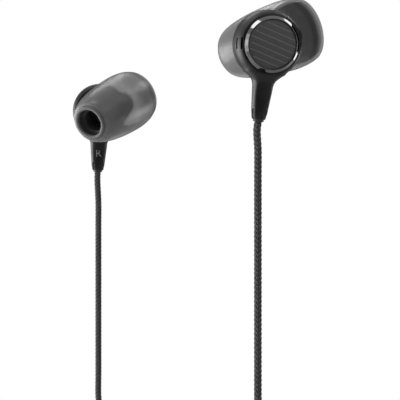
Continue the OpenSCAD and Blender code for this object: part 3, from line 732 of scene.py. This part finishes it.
def spline(points, step):
    """A smooth polyline through the points, a step apart."""
    p = [Vector(v) for v in points]
    p = [2 * p[0] - p[1]] + p + [2 * p[-1] - p[-2]]
    dense = []
    for a, b, c, d in zip(p, p[1:], p[2:], p[3:]):
        t1 = (b - a).length ** 0.5
        t2 = t1 + (c - b).length ** 0.5
        t3 = t2 + (d - c).length ** 0.5
        for i in range(24):
            t = t1 + (t2 - t1) * i / 24
            a1, a2 = a.lerp(b, t / t1), b.lerp(c, (t - t1) / (t2 - t1))
            a3 = c.lerp(d, (t - t2) / (t3 - t2))
            b1, b2 = a1.lerp(a2, t / t2), a2.lerp(a3, (t - t1) / (t3 - t1))
            dense.append(b1.lerp(b2, (t - t1) / (t2 - t1)))
    dense.append(p[-2])
    pts = np.array(dense)
    along = np.r_[0, np.cumsum(np.linalg.norm(np.diff(pts, axis=0), axis=1))]
    at = np.linspace(0, along[-1], max(2, round(along[-1] / step) + 1))
    return np.stack([np.interp(at, along, pts[:, i]) for i in range(3)], axis=1)


def stem_exit(side, t):
    """A point on the stem's axis, t below the middle of the housing."""
    return PLACE[side] @ Vector((-t * sin(LEAN), -t * cos(LEAN), STEM_Z))


EXITS = {side: stem_exit(side, LEAVES_AT) for side in SIDES}
print("leads leave at", {s: [round(v, 3) for v in EXITS[s]] for s in SIDES})


# %% Routes
def shifted(start, points, sign=1):
    """The points moved from a start, with Y turned round where sign is -1."""
    return [start + Vector((x, sign * y, z)) for x, y, z in points]


def fall(x, y, first, last):
    """The part of a lead that hangs straight down, with a point each 5 mm."""
    return [(x, y, z) for z in np.arange(first, last - 2.5, -5)]


SIGNS = {"left": 1, "right": -1}
FALLS = {
    "left": fall(-1.3, -9.05, -20.5, -70.5) + [
        (-1.9, -8.8, -74), (-3.5, -8.2, -76.7), (-7.3, -6.75, -80.7), (-11.2, -5.3, -84.7),
        (-12.9, -4.65, -87.3),
    ],
    "right": fall(-35.5, 44.65, -30.5, -75.5) + [
        (-35.1, 44.35, -78.1), (-34.05, 43.6, -79.8), (-32.55, 42.45, -80.8),
        (-24.6, 36.5, -82.85), (-16.65, 30.5, -84.9), (-15.1, 29.35, -85.9),
        (-14.05, 28.55, -87.6),
    ],
}
TAIL = [(1.0, -0.2, -5.0), (3.2, 0.7, -8.2), (5.1, 3.7, -9.9), (6.0, 7.6, -9.0)]
RISE = [(0, 0, z) for z in (0, 2, 8.5, 15)] + [
    (-0.3, -0.6, 17.5), (-1.05, -2.3, 19.3), (-2.1, -4.55, 20), (-3.15, -6.8, 19.3),
    (-3.9, -8.5, 17.5)]
TURN = [(-0.3, -0.6, 4.5), (-1.15, -2.3, 6.4), (-2.3, -4.55, 7.1), (-3.45, -6.8, 6.4),
        (-4.3, -8.5, 4.5)]
routes = {}
for side, sign in SIGNS.items():
    out_way = (EXITS[side] - stem_exit(side, 0)).normalized()
    start = HANK_MIDDLE - Vector((0, sign * LEAD_START_Y, 0))
    loops = shifted(start, hank(**LEAD_HANK), sign)
    into = SPLITTER_AT + Vector((0, -sign * LEAD_GAP, -SPLITTER_L / 2))
    routes[side] = (
        [EXITS[side], EXITS[side] + 1.6 * out_way] + FALLS[side] + loops
        + shifted(loops[-1], TAIL, sign)
        + [into + Vector((0, -sign * 0.6, -6.5)), into - Vector((0, 0, LEAD_D)), into]
    )
trunk_out = SPLITTER_AT + Vector((0, 0, SPLITTER_L / 2))
loops = shifted(HANK_MIDDLE - Vector((0, STACK["trunk"] / 2, 0)), hank(**TRUNK_HANK))
routes["trunk"] = (shifted(trunk_out, RISE) + loops + shifted(loops[-1], TURN)
                   + shifted(BOOT_IN, [(0, 0, z) for z in (8, 5, 2, 0)]))
paths = {key: spline(points, 0.3) for key, points in routes.items()}

# %% [markdown]
# ## Braid
#
# A textile sleeve is woven from eight threads that run to the right round the cord and
# eight to the left.  Each thread rises over two others and dives under the next two.
# Where a thread is high depends only on the angle round the cord, so the crossings stand
# in columns and make the small V shapes of a herringbone.  The tree copies the route
# once for each thread and moves its points outwards by that rule.  Step divides Pitch,
# so that every crossing gets the same points.


# %% The braid's rule
def sleeve(path, *, Step, Radius, Pitch, Strands, Width, Thickness, Rise, Core):
    curve = path.then("GeometryNodeMeshToCurve")
    even = curve.then("GeometryNodeResampleCurve", {"Length": Step}, mode="LENGTH")
    threads = even.then("GeometryNodeDuplicateElements", {"Amount": Strands},
                        domain="SPLINE")
    number = threads.other("Duplicate Index")
    half = Strands / 2
    way = 1 - 2 * number.math("GREATER_THAN", number, half - 0.5)
    along = path.node("GeometryNodeSplineParameter", out="Length")
    angle = way * along * (2 * pi) / Pitch + number * (2 * pi) / half
    crown = way * angle.math("SINE", angle * (half / 2) + 0.4)
    normal = path.node("GeometryNodeInputNormal")
    tangent = path.node("GeometryNodeInputTangent")
    side = tangent.then("ShaderNodeVectorMath", {1: normal}, operation="CROSS_PRODUCT")
    outwards = normal.times(angle.math("COSINE", angle)).then(
        "ShaderNodeVectorMath", {1: side.times(angle.math("SINE", angle))}, operation="ADD")
    for name, value, kind in (("outwards", outwards, "FLOAT_VECTOR"),
                              ("thread", number, "FLOAT"), ("crown", crown, "FLOAT")):
        threads = threads.then("GeometryNodeStoreNamedAttribute",
                               {"Name": name, "Value": value},
                               data_type=kind, domain="POINT")
    radial = path.node("GeometryNodeInputNamedAttribute", {"Name": "outwards"},
                       data_type="FLOAT_VECTOR")
    threads = threads.then("GeometryNodeSetPosition",
                           {"Offset": outwards.times(Radius + Rise * crown)})
    threads = threads.then("GeometryNodeSetCurveNormal", {"Normal": radial}, mode="FREE")
    section = path.node("GeometryNodeCurvePrimitiveCircle", {"Resolution": 3, "Radius": 1})
    scale = path.node("ShaderNodeCombineXYZ", {0: Thickness / 1.5, 1: Width / 1.732, 2: 1})
    section = section.then("GeometryNodeTransform", {"Scale": scale})
    coarse = curve.then("GeometryNodeResampleCurve", {"Length": 1.0}, mode="LENGTH")
    ring = path.node("GeometryNodeCurvePrimitiveCircle", {"Resolution": 10, "Radius": Core})
    joined = path.node("GeometryNodeJoinGeometry")
    for line, profile in ((coarse, ring), (threads, section)):
        tube = line.then("GeometryNodeCurveToMesh",
                         {"Profile Curve": profile, "Fill Caps": True})
        path.tree.links.new(tube.socket, joined.socket.node.inputs[0])
    return joined.then("GeometryNodeSetShadeSmooth")


def braided(p):
    lot = p.node("ShaderNodeTexWhiteNoise", {"W": p.attribute("thread")},
                 noise_dimensions="1D")
    fibre = p.noise(0.06, 3)
    # Painted highlight: where a thread crosses over, its crown is painted lighter than the
    # dark yarn, with a little random variation.
    painted_crown_light = p.attribute("crown").step(0.3, 1.0) * (0.85 + 0.15 * p.noise(0.32, 2))
    yarn = painted_crown_light.mix(lot.mix(grey(0.013), grey(0.019)), grey(0.05, (1, 1, 1.03)))
    return {
        "Base Color": yarn,
        "Roughness": 0.62 + fibre * 0.25,
        "Sheen Weight": 0.15,
        "Sheen Roughness": 0.4,
        "Normal": fibre.bump(0.02, 0.6),
    }


BRAID = finish("braided_sleeve", braided)
LEAD_BRAID = {"Step": 6.8 / 24, "Radius": 0.59, "Pitch": 6.8, "Strands": 16, "Width": 0.41,
              "Thickness": 0.17, "Rise": 0.035, "Core": 0.55}
TRUNK_BRAID = {"Step": 0.48, "Radius": 0.85, "Pitch": 9.6, "Strands": 16, "Width": 0.59,
               "Thickness": 0.25, "Rise": 0.08, "Core": 0.79}
cords = {}
for key, end, sizes in (("left", "_lead", LEAD_BRAID), ("right", "_lead", LEAD_BRAID),
                        ("trunk", "_cord", TRUNK_BRAID)):
    name = key + end
    line = [tuple(p) for p in paths[key]]
    links = [(i, i + 1) for i in range(len(line) - 1)]
    cords[key] = grow(name, line, links, sleeve, sizes, BRAID)
    triangles = sum(len(f.vertices) - 2 for f in cords[key].data.polygons)
    print(name, triangles, "triangles")

# %% [markdown]
# ## Splitter, plug and strap
#
# The splitter is a soft moulded cone: both leads enter its thick end and the trunk
# leaves the thin one.  The plug has a ribbed boot against bending, a turned barrel and
# gold contacts with black insulators between them.  All are round, so each is an outline
# that `revolve` turns about its axis, with its corners cut to small arcs.

# %% Splitter
SPLITTER_R = 2.6
splitter_outline = [(0, -9), (2.1, -9), (SPLITTER_R, -8.4), (SPLITTER_R, -5.5)]
for k in range(3):
    low = k * 0.9
    splitter_outline += [(SPLITTER_R, low - 5.5), (2.42, low - 5.4), (2.42, low - 5.1),
                         (SPLITTER_R - 0.02 * k, low - 5.0)]
splitter_outline += [(2.55, -3.0), (1.8, 8.5), (1.4, 9), (0, 9)]
splitter = turned("cord_splitter", splitter_outline,
                  [0, 0.25, 0.3, 0] + [0.06] * 12 + [0.6, 0.3, 0.2, 0],
                  SOFT, standing(SPLITTER_AT))
settle(splitter, "soft_black", "splitter")
print("splitter made")

# %% Plug
PIN_R, BARREL_R, SHOULDER = 1.75, 3, PLUG_AT + Vector((0, 0, -6))
BOOT_R, BOOT_FALL, RIBS = 2.7, 1.1, 4
boot_outline = [(0, 0), (BOOT_R, 0)]
for k in range(RIBS):
    wide, narrow = (BOOT_R - BOOT_FALL * i / RIBS for i in (k, k + 1))
    low = 0.8 + k * 1.875
    boot_outline += [(wide, low), (narrow + 0.02, low + 1.0), (narrow, low + 1.7)]
boot_outline += [(1.6, 8.7), (1.3, 9), (0, 9)]
barrel_outline = [
    (0, 0), (2.4, 0), (2.75, 0.5), (BARREL_R, 0.8), (BARREL_R, 2.2), (2.86, 2.3),
    (2.86, 2.6), (BARREL_R, 2.7), (BARREL_R, 12.7), (2.7, 13), (0, 13)]
tip_outline = [
    (0, -14), (0.3, -14), (0.5, -13.85), (1.505, -12.458), (1.61, -12.058),
    (1.19, -11.358), (1.19, -11.158), (PIN_R, -9.6), (PIN_R, -9.1), (0, -9.1)]


def disc(low, high):
    """The outline of a length of the pin."""
    return [(0, low), (PIN_R, low), (PIN_R, high), (0, high)]


plug = {}
for key, name, outline, radii, finish_of, slot_name in (
    ("boot", "bend_boot", boot_outline, 0.22, SOFT, "soft_black"),
    ("barrel", "turned_barrel", barrel_outline,
     [0, 0.15, 0.2, 0.2, 0.05, 0.05, 0.05, 0.05, 0.25, 0.1, 0], ANODISED, "cap_grey"),
    ("sleeve", "sleeve_contact", disc(-5.2, 0), [0, 0.06, 0.06, 0], GOLD, "plug_metal"),
    ("ring", "ring_contact", disc(-8.4, -5.9), [0, 0.06, 0.06, 0], GOLD, "plug_metal"),
    ("tip", "tip_contact", tip_outline, [0, 0.1, 0.4, 0.2, 0.2, 0.2, 0.2, 0.1, 0, 0],
     GOLD, "plug_metal"),
):
    at = PLUG_AT + Vector((0, 0, 7)) if key == "boot" else SHOULDER
    plug[key] = turned("plug_" + name, outline, radii, finish_of, standing(at))
    settle(plug[key], slot_name, "plug_" + key)
rings = [revolve(disc(z, z + 0.7), 64) for z in (-5.9, -9.1)]
base = len(rings[0][0])
plug["insulators"] = piece(
    "plug_insulator_rings", rings[0][0] + rings[1][0],
    rings[0][1] + [[i + base for i in f] for f in rings[1][1]], MOULDED, standing(SHOULDER))
settle(plug["insulators"], "insulator", "plug_insulators")
print("plug pieces:", sorted(plug))

# %% [markdown]
# ## The strap
#
# A hook-and-loop strap goes once round the two lead hanks, the splitter and the plug,
# and laps over itself.  Its line is the shortest one round those round pieces: an arc on
# each, and a straight stretch between.  The lap is a second layer with a rounded end.

# %% Strap
STRAP_T, STRAP_HALF, LAP_HALF, LAP_SHARE = 0.43, 3.5, 3.3, 0.62
WAIST = LEAD_HANK["fold"] - LEAD_HANK["pinch"] + 0.2
HELD = [((PLUG_AT.x, PLUG_AT.y), BARREL_R)] + [
    ((HANK_MIDDLE.x + x, HANK_MIDDLE.y + y), LEAD_D / 2)
    for x, y in ((-WAIST, -LEAD_START_Y), (WAIST, -LEAD_START_Y),
                 (WAIST, LEAD_START_Y), (-WAIST, LEAD_START_Y))]
HELD.insert(3, ((SPLITTER_AT.x, SPLITTER_AT.y), SPLITTER_R))


def strap_line(away):
    """Points of the strap's line and its outward directions, away from what it holds."""
    def square(a, b):
        d = Vector(b[0]) - Vector(a[0])
        return atan2(d.y, d.x) - pi / 2 + asin((a[1] - b[1]) / d.length)

    points, n = [], len(HELD)
    for i, (centre, r) in enumerate(HELD):
        come, go = square(HELD[i - 1], HELD[i]), square(HELD[i], HELD[(i + 1) % n])
        turn = (go - come) % (2 * pi)
        for k in range(13):
            a = come + turn * k / 12
            u = Vector((cos(a), sin(a)))
            points.append((Vector(centre) + u * (r + away), u))
    return points


def band_mesh(line, low, high, half_height, round_end=0):
    """A band along a line: low and high are its faces' distances, half_height its width."""
    verts, n = [], len(line)
    e = min(0.12, (high - low) / 3)
    for i, (at, u) in enumerate(line):
        left, h = n - 1 - i, half_height
        if left < round_end:
            h *= sqrt(max(0.05, 1 - (1 - left / round_end) ** 2))
        for d, z in ((low, -h + e), (low + e, -h), (high - e, -h), (high, -h + e),
                     (high, h - e), (high - e, h), (low + e, h), (low, h - e)):
            p = at + u * d
            verts.append((p.x, p.y, z + HANK_MIDDLE.z))
    return verts, quads_between(n, 8, closed=not round_end)


def strap_cloth(p):
    loops = p.cells(0.28)
    fluff = p.noise(0.2, 4)
    return {
        "Base Color": loops.mix(grey(0.045, (1, 1, 1.08)), grey(0.015)),
        "Roughness": 0.85 + fluff * 0.1,
        "Sheen Weight": 0.3,
        "Normal": (loops * 0.7 + fluff * 0.3).bump(0.06, 0.8),
    }


line = strap_line(0.3)
fine = []
for (a, u), (b, v) in zip(line, line[1:] + line[:1]):
    count = max(1, round((b - a).length / 0.8))
    for t in np.arange(count) / count:
        fine.append((a.lerp(b, t), u.lerp(v, t).normalized()))
verts, faces = band_mesh(fine, 0.0, STRAP_T, STRAP_HALF)
lap = [fine[i % len(fine)] for i in range(30, 30 + int(len(fine) * LAP_SHARE))]
lap_verts, lap_faces = band_mesh(lap, STRAP_T + 0.02, 2 * STRAP_T + 0.02, LAP_HALF, 5)
lap_faces += [list(range(8))[::-1], [len(lap_verts) - 8 + k for k in range(8)]]
faces += [[i + len(verts) for i in f] for f in lap_faces]
strap = piece("hank_strap", verts + lap_verts, faces, finish("hook_and_loop", strap_cloth),
              sharp=60)
settle(strap, "strap", "cord_tie")
print("the strap has", len(fine), "steps round")

# %% [markdown]
# ## The cords
#
# Each cord is hung on the body that carries it, and the nodes that it stands for are
# hidden.  The leads end in the splitter, and the trunk leaves it for the plug.

# %% Cords
LEAD_NODES = {side: ("lead_" + side, "hank_" + side, "tail_" + side) for side in SIDES}
for key, leaves, width, far_end, carried, stands_for in (
    ("left", EXITS["left"], LEAD_D, "fitting", [splitter], LEAD_NODES["left"]),
    ("right", EXITS["right"], LEAD_D, "fitting", [splitter], LEAD_NODES["right"]),
    ("trunk", trunk_out, TRUNK_D, "plug", list(plug.values()) + [strap],
     ("trunk_link", "trunk_hank", "trunk_tail")),
):
    settle(cords[key], "braid", *stands_for)
    tuple(leaves / 1000)
    width / 1000

# %% [markdown]
# ## Ear tips
#
# An ear tip is one piece of silicone: a tube that grips the nozzle, and a skirt that
# turns back from the tube's mouth and bells out like an umbrella.  It is turned as one
# outline, but the skirt's rim is cut where the housing stands, so each line of the mesh
# starts at its own height.  The rim is rolled to a half round and the mouth has a round
# lip, a pocket and a narrower bore.  The finish reads `along` and `from_rim`, two numbers
# that are kept on the mesh's points.


# %% Tip outlines
def bend(points, count):
    """A smooth line of count points through given ones."""
    line = spline([(r, 0, s) for r, s in points], 0.05)
    along = np.linspace(0, len(line) - 1, count)
    return [(line[int(i), 0], line[int(i), 2]) for i in np.round(along)]


def ellipse(cx, cy, rx, ry, a, b, count):
    angles = np.radians(np.linspace(a, b, count))
    return [(cx + rx * cos(t), cy + ry * sin(t)) for t in angles]


SKIRT_CUT_Z = -3.22
TIP_BORE_R, TUBE_R, SOUND_R = 2.76, 3.56, 2.25
TIP_OUT = bend([(5.95, 0.0), (6.24, 0.9), (6.46, 2.1)]
               + ellipse(3.7, 3.9, 2.9, 13.95, 0, 76, 14), 60)
TIP_IN = bend([(5.25, 0.0), (5.54, 0.9), (5.76, 2.1)]
              + ellipse(TUBE_R, 3.9, 2.34, 13.2, 0, 80, 14), 60)
LIP = [(4.1, 17.57), (3.87, 17.66)] + ellipse(3.33, 17.85, 0.44, 0.35, -20, 180, 12)
BORE = (
    [(2.87, 17.4), (2.85, 16.95), (2.8, 16.62), (2.72, 16.43), (2.6, 16.36)]
    + ellipse(2.5, 16.1, 0.25, 0.25, 110, 180, 5)
    + [(SOUND_R, s) for s in np.linspace(15.8, 14.1, 6)]
    + [(TIP_BORE_R, s) for s in np.linspace(13.8, 7.6, 10)]
)
FOOT = [(2.8, 7.44), (2.9, 7.4), (3.42, 7.4), (3.52, 7.44), (TUBE_R, 7.55)]
TUBE = [(TUBE_R, s) for s in np.linspace(7.9, 16.4, 14)] + [(3.6, 16.75)]
NOT_SKIRT, IN_BORE = 99, 199


def from_cut(points, c, s):
    """The part of a line of points that lies clear of the cut, and how far along it is."""
    def over(q):
        return (ON_NOZZLE @ Vector((q[0] * c, q[0] * s, q[1]))).z - SKIRT_CUT_Z

    start = 0
    while over(points[start]) > 0:
        start += 1
    if start:
        a, b = points[start - 1], points[start]
        t = over(a) / (over(a) - over(b))
        points = [(a[0] + (b[0] - a[0]) * t, a[1] + (b[1] - a[1]) * t)] + points[start:]
    along = np.r_[0, np.cumsum([dist(a, b) for a, b in zip(points, points[1:])])]
    at = np.linspace(0, along[-1], 48)
    return list(zip(*(np.interp(at, along, q) for q in zip(*points)))), list(at)


def tip_mesh(steps=144):
    """Lines from the cut rim over the skirt, round the mouth, through the bore and back."""
    verts, rims = [], []
    middle = LIP + BORE + FOOT + TUBE
    marks = ([NOT_SKIRT] * len(LIP) + [IN_BORE] * len(BORE)
             + [NOT_SKIRT] * len(FOOT + TUBE))
    for i in range(steps):
        a = 2 * pi * i / steps
        c, s = cos(a), sin(a)
        (outer, out_at), (inner, in_at) = from_cut(TIP_OUT, c, s), from_cut(TIP_IN, c, s)
        o, n = Vector(outer[0]), Vector(inner[0])
        mid, half = (o + n) / 2, (o - n) / 2
        down = Vector((half.y, -half.x))
        edge = [tuple(mid - half * cos(t) + down * sin(t))
                for t in np.linspace(0, pi, 8)[1:-1]]
        loop = outer + middle + inner[::-1] + edge
        verts += [(r * c, r * s, h) for r, h in loop]
        rims += out_at + marks + in_at[::-1] + [0] * len(edge)
    return verts, quads_between(steps, len(loop)), rims


*tip_form, rims = tip_mesh()
for side in SIDES:
    tip = piece(side + "_silicone_tip", *tip_form, SILICONE, PLACE[side] @ ON_NOZZLE,
                sharp=0)
    for name, values in (("along", [v[2] for v in tip_form[0]]), ("from_rim", rims)):
        tip.data.attributes.new(name, "FLOAT", "POINT").data.foreach_set("value", values)
    settle(tip, "silicone", side + "_ear_tip", body=side + "_tip")
print("tips have", len(tip_form[1]), "faces each")

# %% [markdown]
# ## Housings
#
# The shells are injection moulded, so no edge is sharp, and the stem flows out of the
# round housing with a wide fillet on each side.  The rear shell is one formula: a
# rounded puck, joined to a stem whose section shrinks from an oval to a small round, and
# cut by the cavity, the cord's channel, the slits of the collet and two vents.

# %% Rear shell
HOUSING_R, FLAT_R, CAP_Z = 6.25, 5.1, 2.7
SHOULDER_Z, SHOULDER_W, SHOULDER_H = 0.2, 1.15, 2.5
NECK_R, FLARE_R, STEM_R, COLLET_T, STEM_END = 1.9, 3.4, 1.5, 12.4, 13.7


def puck(rho, z):
    """A round side wall with a shoulder that falls in to the flat of the top."""
    u, w = maximum(rho - FLAT_R, 0), maximum(z - SHOULDER_Z, 0)
    k = hypot(u / SHOULDER_W, w / SHOULDER_H)
    slope = hypot(u / SHOULDER_W ** 2, w / SHOULDER_H ** 2)
    curved = k * (k - 1) / maximum(slope, 1e-6)
    return where(k > 0.05, curved, -1.1)


def stem_axes(x, y, z):
    """Across, along and through the stem, which leans a little to the front."""
    across = x * cos(LEAN) - y * sin(LEAN)
    along = -(x * sin(LEAN) + y * cos(LEAN))
    return across, along, z - STEM_Z


def stem(a, t, b):
    q = hypot(a, b)
    middle = sqrt((HOUSING_R + FLARE_R) ** 2 - (NECK_R + FLARE_R) ** 2)
    arc = np.sqrt(maximum(FLARE_R ** 2 - (t - middle) ** 2, 0.01))
    cone = NECK_R + (STEM_R - NECK_R) * (t - middle) / (COLLET_T - middle)
    collet = STEM_R - 0.25 * (t - COLLET_T) / 1.3
    r = where(t < middle, NECK_R + FLARE_R - arc, minimum(cone, collet))
    r = where(t < 5.2, 3.43, r)
    half = 1.4 + 0.6 * np.clip((9.4 - t) / 4, 0, 1)
    d = smooth_cut((q - r) * 0.94, np.abs(b) - half, 0.5)
    d = smooth_cut(d, t - STEM_END, 0.18)
    return maximum(d, 4.6 - t)


def slits(a, t, b):
    """Six saw cuts in the collet, from 11.8 down the stem to its end."""
    best = np.full(a.shape, 9.0)
    for k in range(6):
        turn = radians(60 * k + 100)
        u = a * cos(turn) + b * sin(turn)
        v = -a * sin(turn) + b * cos(turn)
        best = minimum(best, maximum(np.abs(v) - 0.15, maximum(-u, 11.8 - t)))
    return best


def vents(x, y, z):
    """Two slots with round ends, square to the shoulder at 24 and 68 degrees."""
    best = np.full(x.shape, 9.0)
    for lift in (24, 68):
        a = radians(lift)
        cx = -(FLAT_R + SHOULDER_W * cos(a))
        cz = SHOULDER_Z + SHOULDER_H * sin(a)
        turn = 0.8 * a
        u = (x - cx) * cos(turn) - (z - cz) * sin(turn)
        w = (x - cx) * sin(turn) + (z - cz) * cos(turn)
        v = maximum(np.abs(y) - 1.05 + 0.17, 0)
        best = minimum(best, maximum(hypot(v, w) - 0.17, np.abs(u) - 0.5))
    return best


def rear_field(x, y, z):
    rho = hypot(x, y)
    a, t, b = stem_axes(x, y, z)
    q = hypot(a, b)
    d = smooth_join(puck(rho, z), stem(a, t, b), 0.9)
    d = smooth_cut(d, z - CAP_Z, 0.08)
    front = maximum(z + 1.2, rho - 6.27)
    cavity = maximum(rho - 5.45, z - 1.9)
    channel = maximum(q - 0.75, 4.85 - t)
    bush = maximum(q - 1.02, 9.48 - t)
    for hole, radius in ((front, 0.07), (cavity, 0.06)):
        d = smooth_cut(d, -hole, radius)
    d = maximum(d, -minimum(channel, bush))
    for hole, radius in ((slits(a, t, b), 0.05), (vents(x, y, z), 0.07)):
        d = smooth_cut(d, -hole, radius)
    return d


def place_both(name, form, node):
    """The same shell on both buds, the right one mirrored."""
    for side in SIDES:
        obj = piece(f"{side}_{name}", *form, MOULDED, PLACE[side], sharp=0, tidy=False)
        settle(obj, "housing_black", f"{side}_{node}")
    print(name, len(form[1]), "faces each")


place_both("rear_shell", skin(rear_field, (-6.9, -14.3, -2.1), (6.7, 6.6, 3.0), 0.1),
           "rear_housing")

# %% [markdown]
# ## Front shell and nozzle
#
# The ear side is flat with a rounded edge.  A boss carries a round knee, and the nozzle
# leaves the knee at an angle, so that the tip points into the ear canal.  The lip near
# its end is what the tip snaps over.

# %% Front shell
to_nozzle = np.array(ON_NOZZLE.inverted())
KNEE_S, NOZZLE_L, LIP_R, COLLAR_R, NOZZLE_R, EDGE_R = 5.4, 13.6, 2.72, 3.02, 2.35, 1.3
KNEE = RIM_CENTRE + KNEE_S * NOZZLE_WAY


def both(*fields):
    """Where all the fields are inside."""
    return maximum.reduce(fields)


def front_field(x, y, z):
    rho = hypot(x, y)
    u, w = maximum(rho - 4.95, 0), maximum(-EDGE_R - z, 0)
    d = smooth_cut(hypot(u, w) - EDGE_R, z + 1.2, 0.07)
    spigot = both(rho - 5.43, z + 0.6, -2.0 - z)
    q = hypot(x - KNEE.x, y - KNEE.y)
    boss = both(q - 2.42, KNEE.z - z, z + 1.7)
    from_knee = np.sqrt(q ** 2 + (z - KNEE.z) ** 2)
    n = [m[0] * x + m[1] * y + m[2] * z + m[3] for m in to_nozzle[:3]]
    r, s = hypot(n[0], n[1]), n[2]
    pipe = both(r - NOZZLE_R, s - NOZZLE_L, KNEE_S - s)
    collar = both(r - COLLAR_R, np.abs(s - 6.95) - 0.35, (r - COLLAR_R) * 0.7 + 6.6 - s)
    lip = both(r - LIP_R, s - NOZZLE_L, 12.5 - s)
    lip = smooth_cut(lip, (r - 2.47 + s - NOZZLE_L) * 0.7071, 0.1)
    neck = smooth_join(boss, smooth_join(from_knee - 2.75, pipe, 0.3), 0.2)
    neck = smooth_join(neck, collar, 0.12)
    neck = smooth_join(neck, lip, 0.15)
    d = smooth_join(minimum(d, spigot), neck, 0.5)
    driver = both(rho - 4.97, -1.9 - z)
    sound = both(hypot(x - 4.0, y - 1.3) - 1.1, KNEE.z - z, z + 1.8)
    bore = both(r - 1.75, KNEE_S - s)
    seat = both(r - 2.02, 13.1 - s)
    holes = minimum.reduce([driver, sound, from_knee - 1.95, bore, seat])
    return smooth_cut(d, -holes, 0.05)


place_both("front_shell", skin(front_field, (-6.5, -6.5, -13.9), (7.7, 6.5, -0.4), 0.115),
           "front_housing")

# %% [markdown]
# ## Ring, cap and bush
#
# The ring is turned metal with a polished bevel that catches the light in a thin circle.
# The cap inside it is a flat disc with fine raised ribs, all of one rule: straight bars
# at an even pitch, each as long as the disc is wide there.  A soft bush stands where the
# cord leaves the stem.

# %% Ring and cap
CAP_R, CAP_T, RING_IN = 4.43, 0.5, 4.45
RIBS_SIZES = {"Count": 7, "Width": 0.22, "Height": 0.06, "Radius": CAP_R,
              "Lean": radians(-20)}
BUSH_OUTLINE = [(0.72, 13.9), (0.72, 9.5), (1.0, 9.5), (1.0, 14.1), (0.75, 14.1)]
ring_outline = [(r, CAP_Z + h) for r, h in (
    (RING_IN, 0), (5.05, 0), (5.1, 0.22), (4.62, 0.82), (4.54, 0.85), (RING_IN, 0.72))]
ring_form = revolve(rounded(ring_outline, [0.02, 0.04, 0.1, 0.05, 0.04, 0.04]), 160)
disc_outline = [(0, CAP_Z), (CAP_R, CAP_Z), (CAP_R, CAP_Z + CAP_T), (0, CAP_Z + CAP_T)]
disc_form = revolve(rounded(disc_outline, [0, 0.03, 0.07, 0]), 160)


def ribs(seed, *, Count, Width, Height, Radius, Lean):
    """Bars across a disc: one cube on each point of a line, stretched to its chord."""
    pitch = Radius * 2 / (Count + 1)
    up = (seed.node("GeometryNodeInputIndex") + 1) * pitch - Radius
    at = seed.node("ShaderNodeCombineXYZ", {1: up})
    row = seed.node("GeometryNodeMeshLine", {"Count": Count}, mode="OFFSET")
    row = row.then("GeometryNodeSetPosition", {"Position": at})
    reach = (Radius - 0.2) * (Radius - 0.2) - up * up
    chord = reach.math("SQRT", reach) * 2
    y = seed.node("GeometryNodeInputPosition").then("ShaderNodeSeparateXYZ", out="Y")
    z = y.other("Z")
    drop = z.math("GREATER_THAN", z, 0) * (abs(y) * 2) ** 4 * 0.6
    down = seed.node("ShaderNodeCombineXYZ", {2: 0 - drop})
    bar = seed.node("GeometryNodeMeshCube",
                    {"Vertices X": 3, "Vertices Y": 4, "Vertices Z": 2}, out="Mesh")
    bar = bar.then("GeometryNodeSetPosition", {"Offset": down})
    size = seed.node("ShaderNodeCombineXYZ", {0: chord, 1: Width, 2: Height * 2})
    bars = row.then("GeometryNodeInstanceOnPoints", {"Instance": bar, "Scale": size})
    turn = seed.node("ShaderNodeCombineXYZ", {2: Lean})
    bars = bars.then("GeometryNodeRealizeInstances")
    return bars.then("GeometryNodeTransform", {"Rotation": turn})


for side in SIDES:
    ring = piece(side + "_polished_ring", *ring_form, POLISHED, PLACE[side], sharp=30)
    settle(ring, "polished_black", side + "_bezel_ring")
    face_disc = piece(side + "_cap_face", *disc_form, ANODISED, PLACE[side], sharp=30)
    settle(face_disc, "cap_grey", side + "_cap_disc")
    bars = grow(side + "_cap_ribs", [(0, 0, 0)], [], ribs, RIBS_SIZES, RIB_PAINTED_HIGHLIGHT,
                PLACE[side] @ standing((0, 0, CAP_Z + CAP_T)))
    settle(bars, "cap_grey")
    on_stem = standing((0, 0, STEM_Z)) @ Matrix.Rotation(-LEAN, 4, "Z")
    bush = turned(side + "_bush", BUSH_OUTLINE, [0.02, 0.05, 0.05, 0.12, 0.05], SOFT,
                  PLACE[side] @ on_stem @ UPRIGHT, 48)
    settle(bush, "soft_black", side + "_cord_bush")
print("rings, caps and bushes made")

# %% [markdown]
# ## Side marks
#
# Each stem carries the letter of its side in pale print on the face towards the wearer.
# The letters are text curves, made a mesh and laid just over the stem's flat.

# %% Letters
MARK_AT = standing((-0.85, -9.75, -1.21)) @ Matrix.Rotation(pi, 4, "Y")


def print_grey(p):
    wear = p.noise(0.12, 3).step(0.2, 0.4)
    return {"Base Color": wear.mix(grey(0.06), grey(0.17)),
            "Roughness": 0.5 + p.noise(0.2, 2) * 0.15}


PRINT = finish("pale_print", print_grey)
for side in SIDES:
    text = bpy.data.curves.new(side + "_mark_text", "FONT")
    text.body = side[0].upper()
    text.size = 2.3
    text.align_x = text.align_y = "CENTER"
    text.extrude = 0.015
    reads = Matrix.Scale(-1, 4, (1, 0, 0)) if side == "right" else Matrix()
    mesh = plain_mesh(add(side + "_mark_text", text), side + "_mark",
                      PLACE[side] @ MARK_AT @ reads)
    weld(mesh)
    mesh.materials.clear()
    mesh.materials.append(PRINT)
    settle(add(side + "_mark", mesh), "cap_grey")
print("marks made")

# %% [markdown]
# ## Last settings
#
# The view transform is Standard, so a colour renders about as it is written.

# %% Finish
bpy.context.scene.view_settings.view_transform = "Standard"
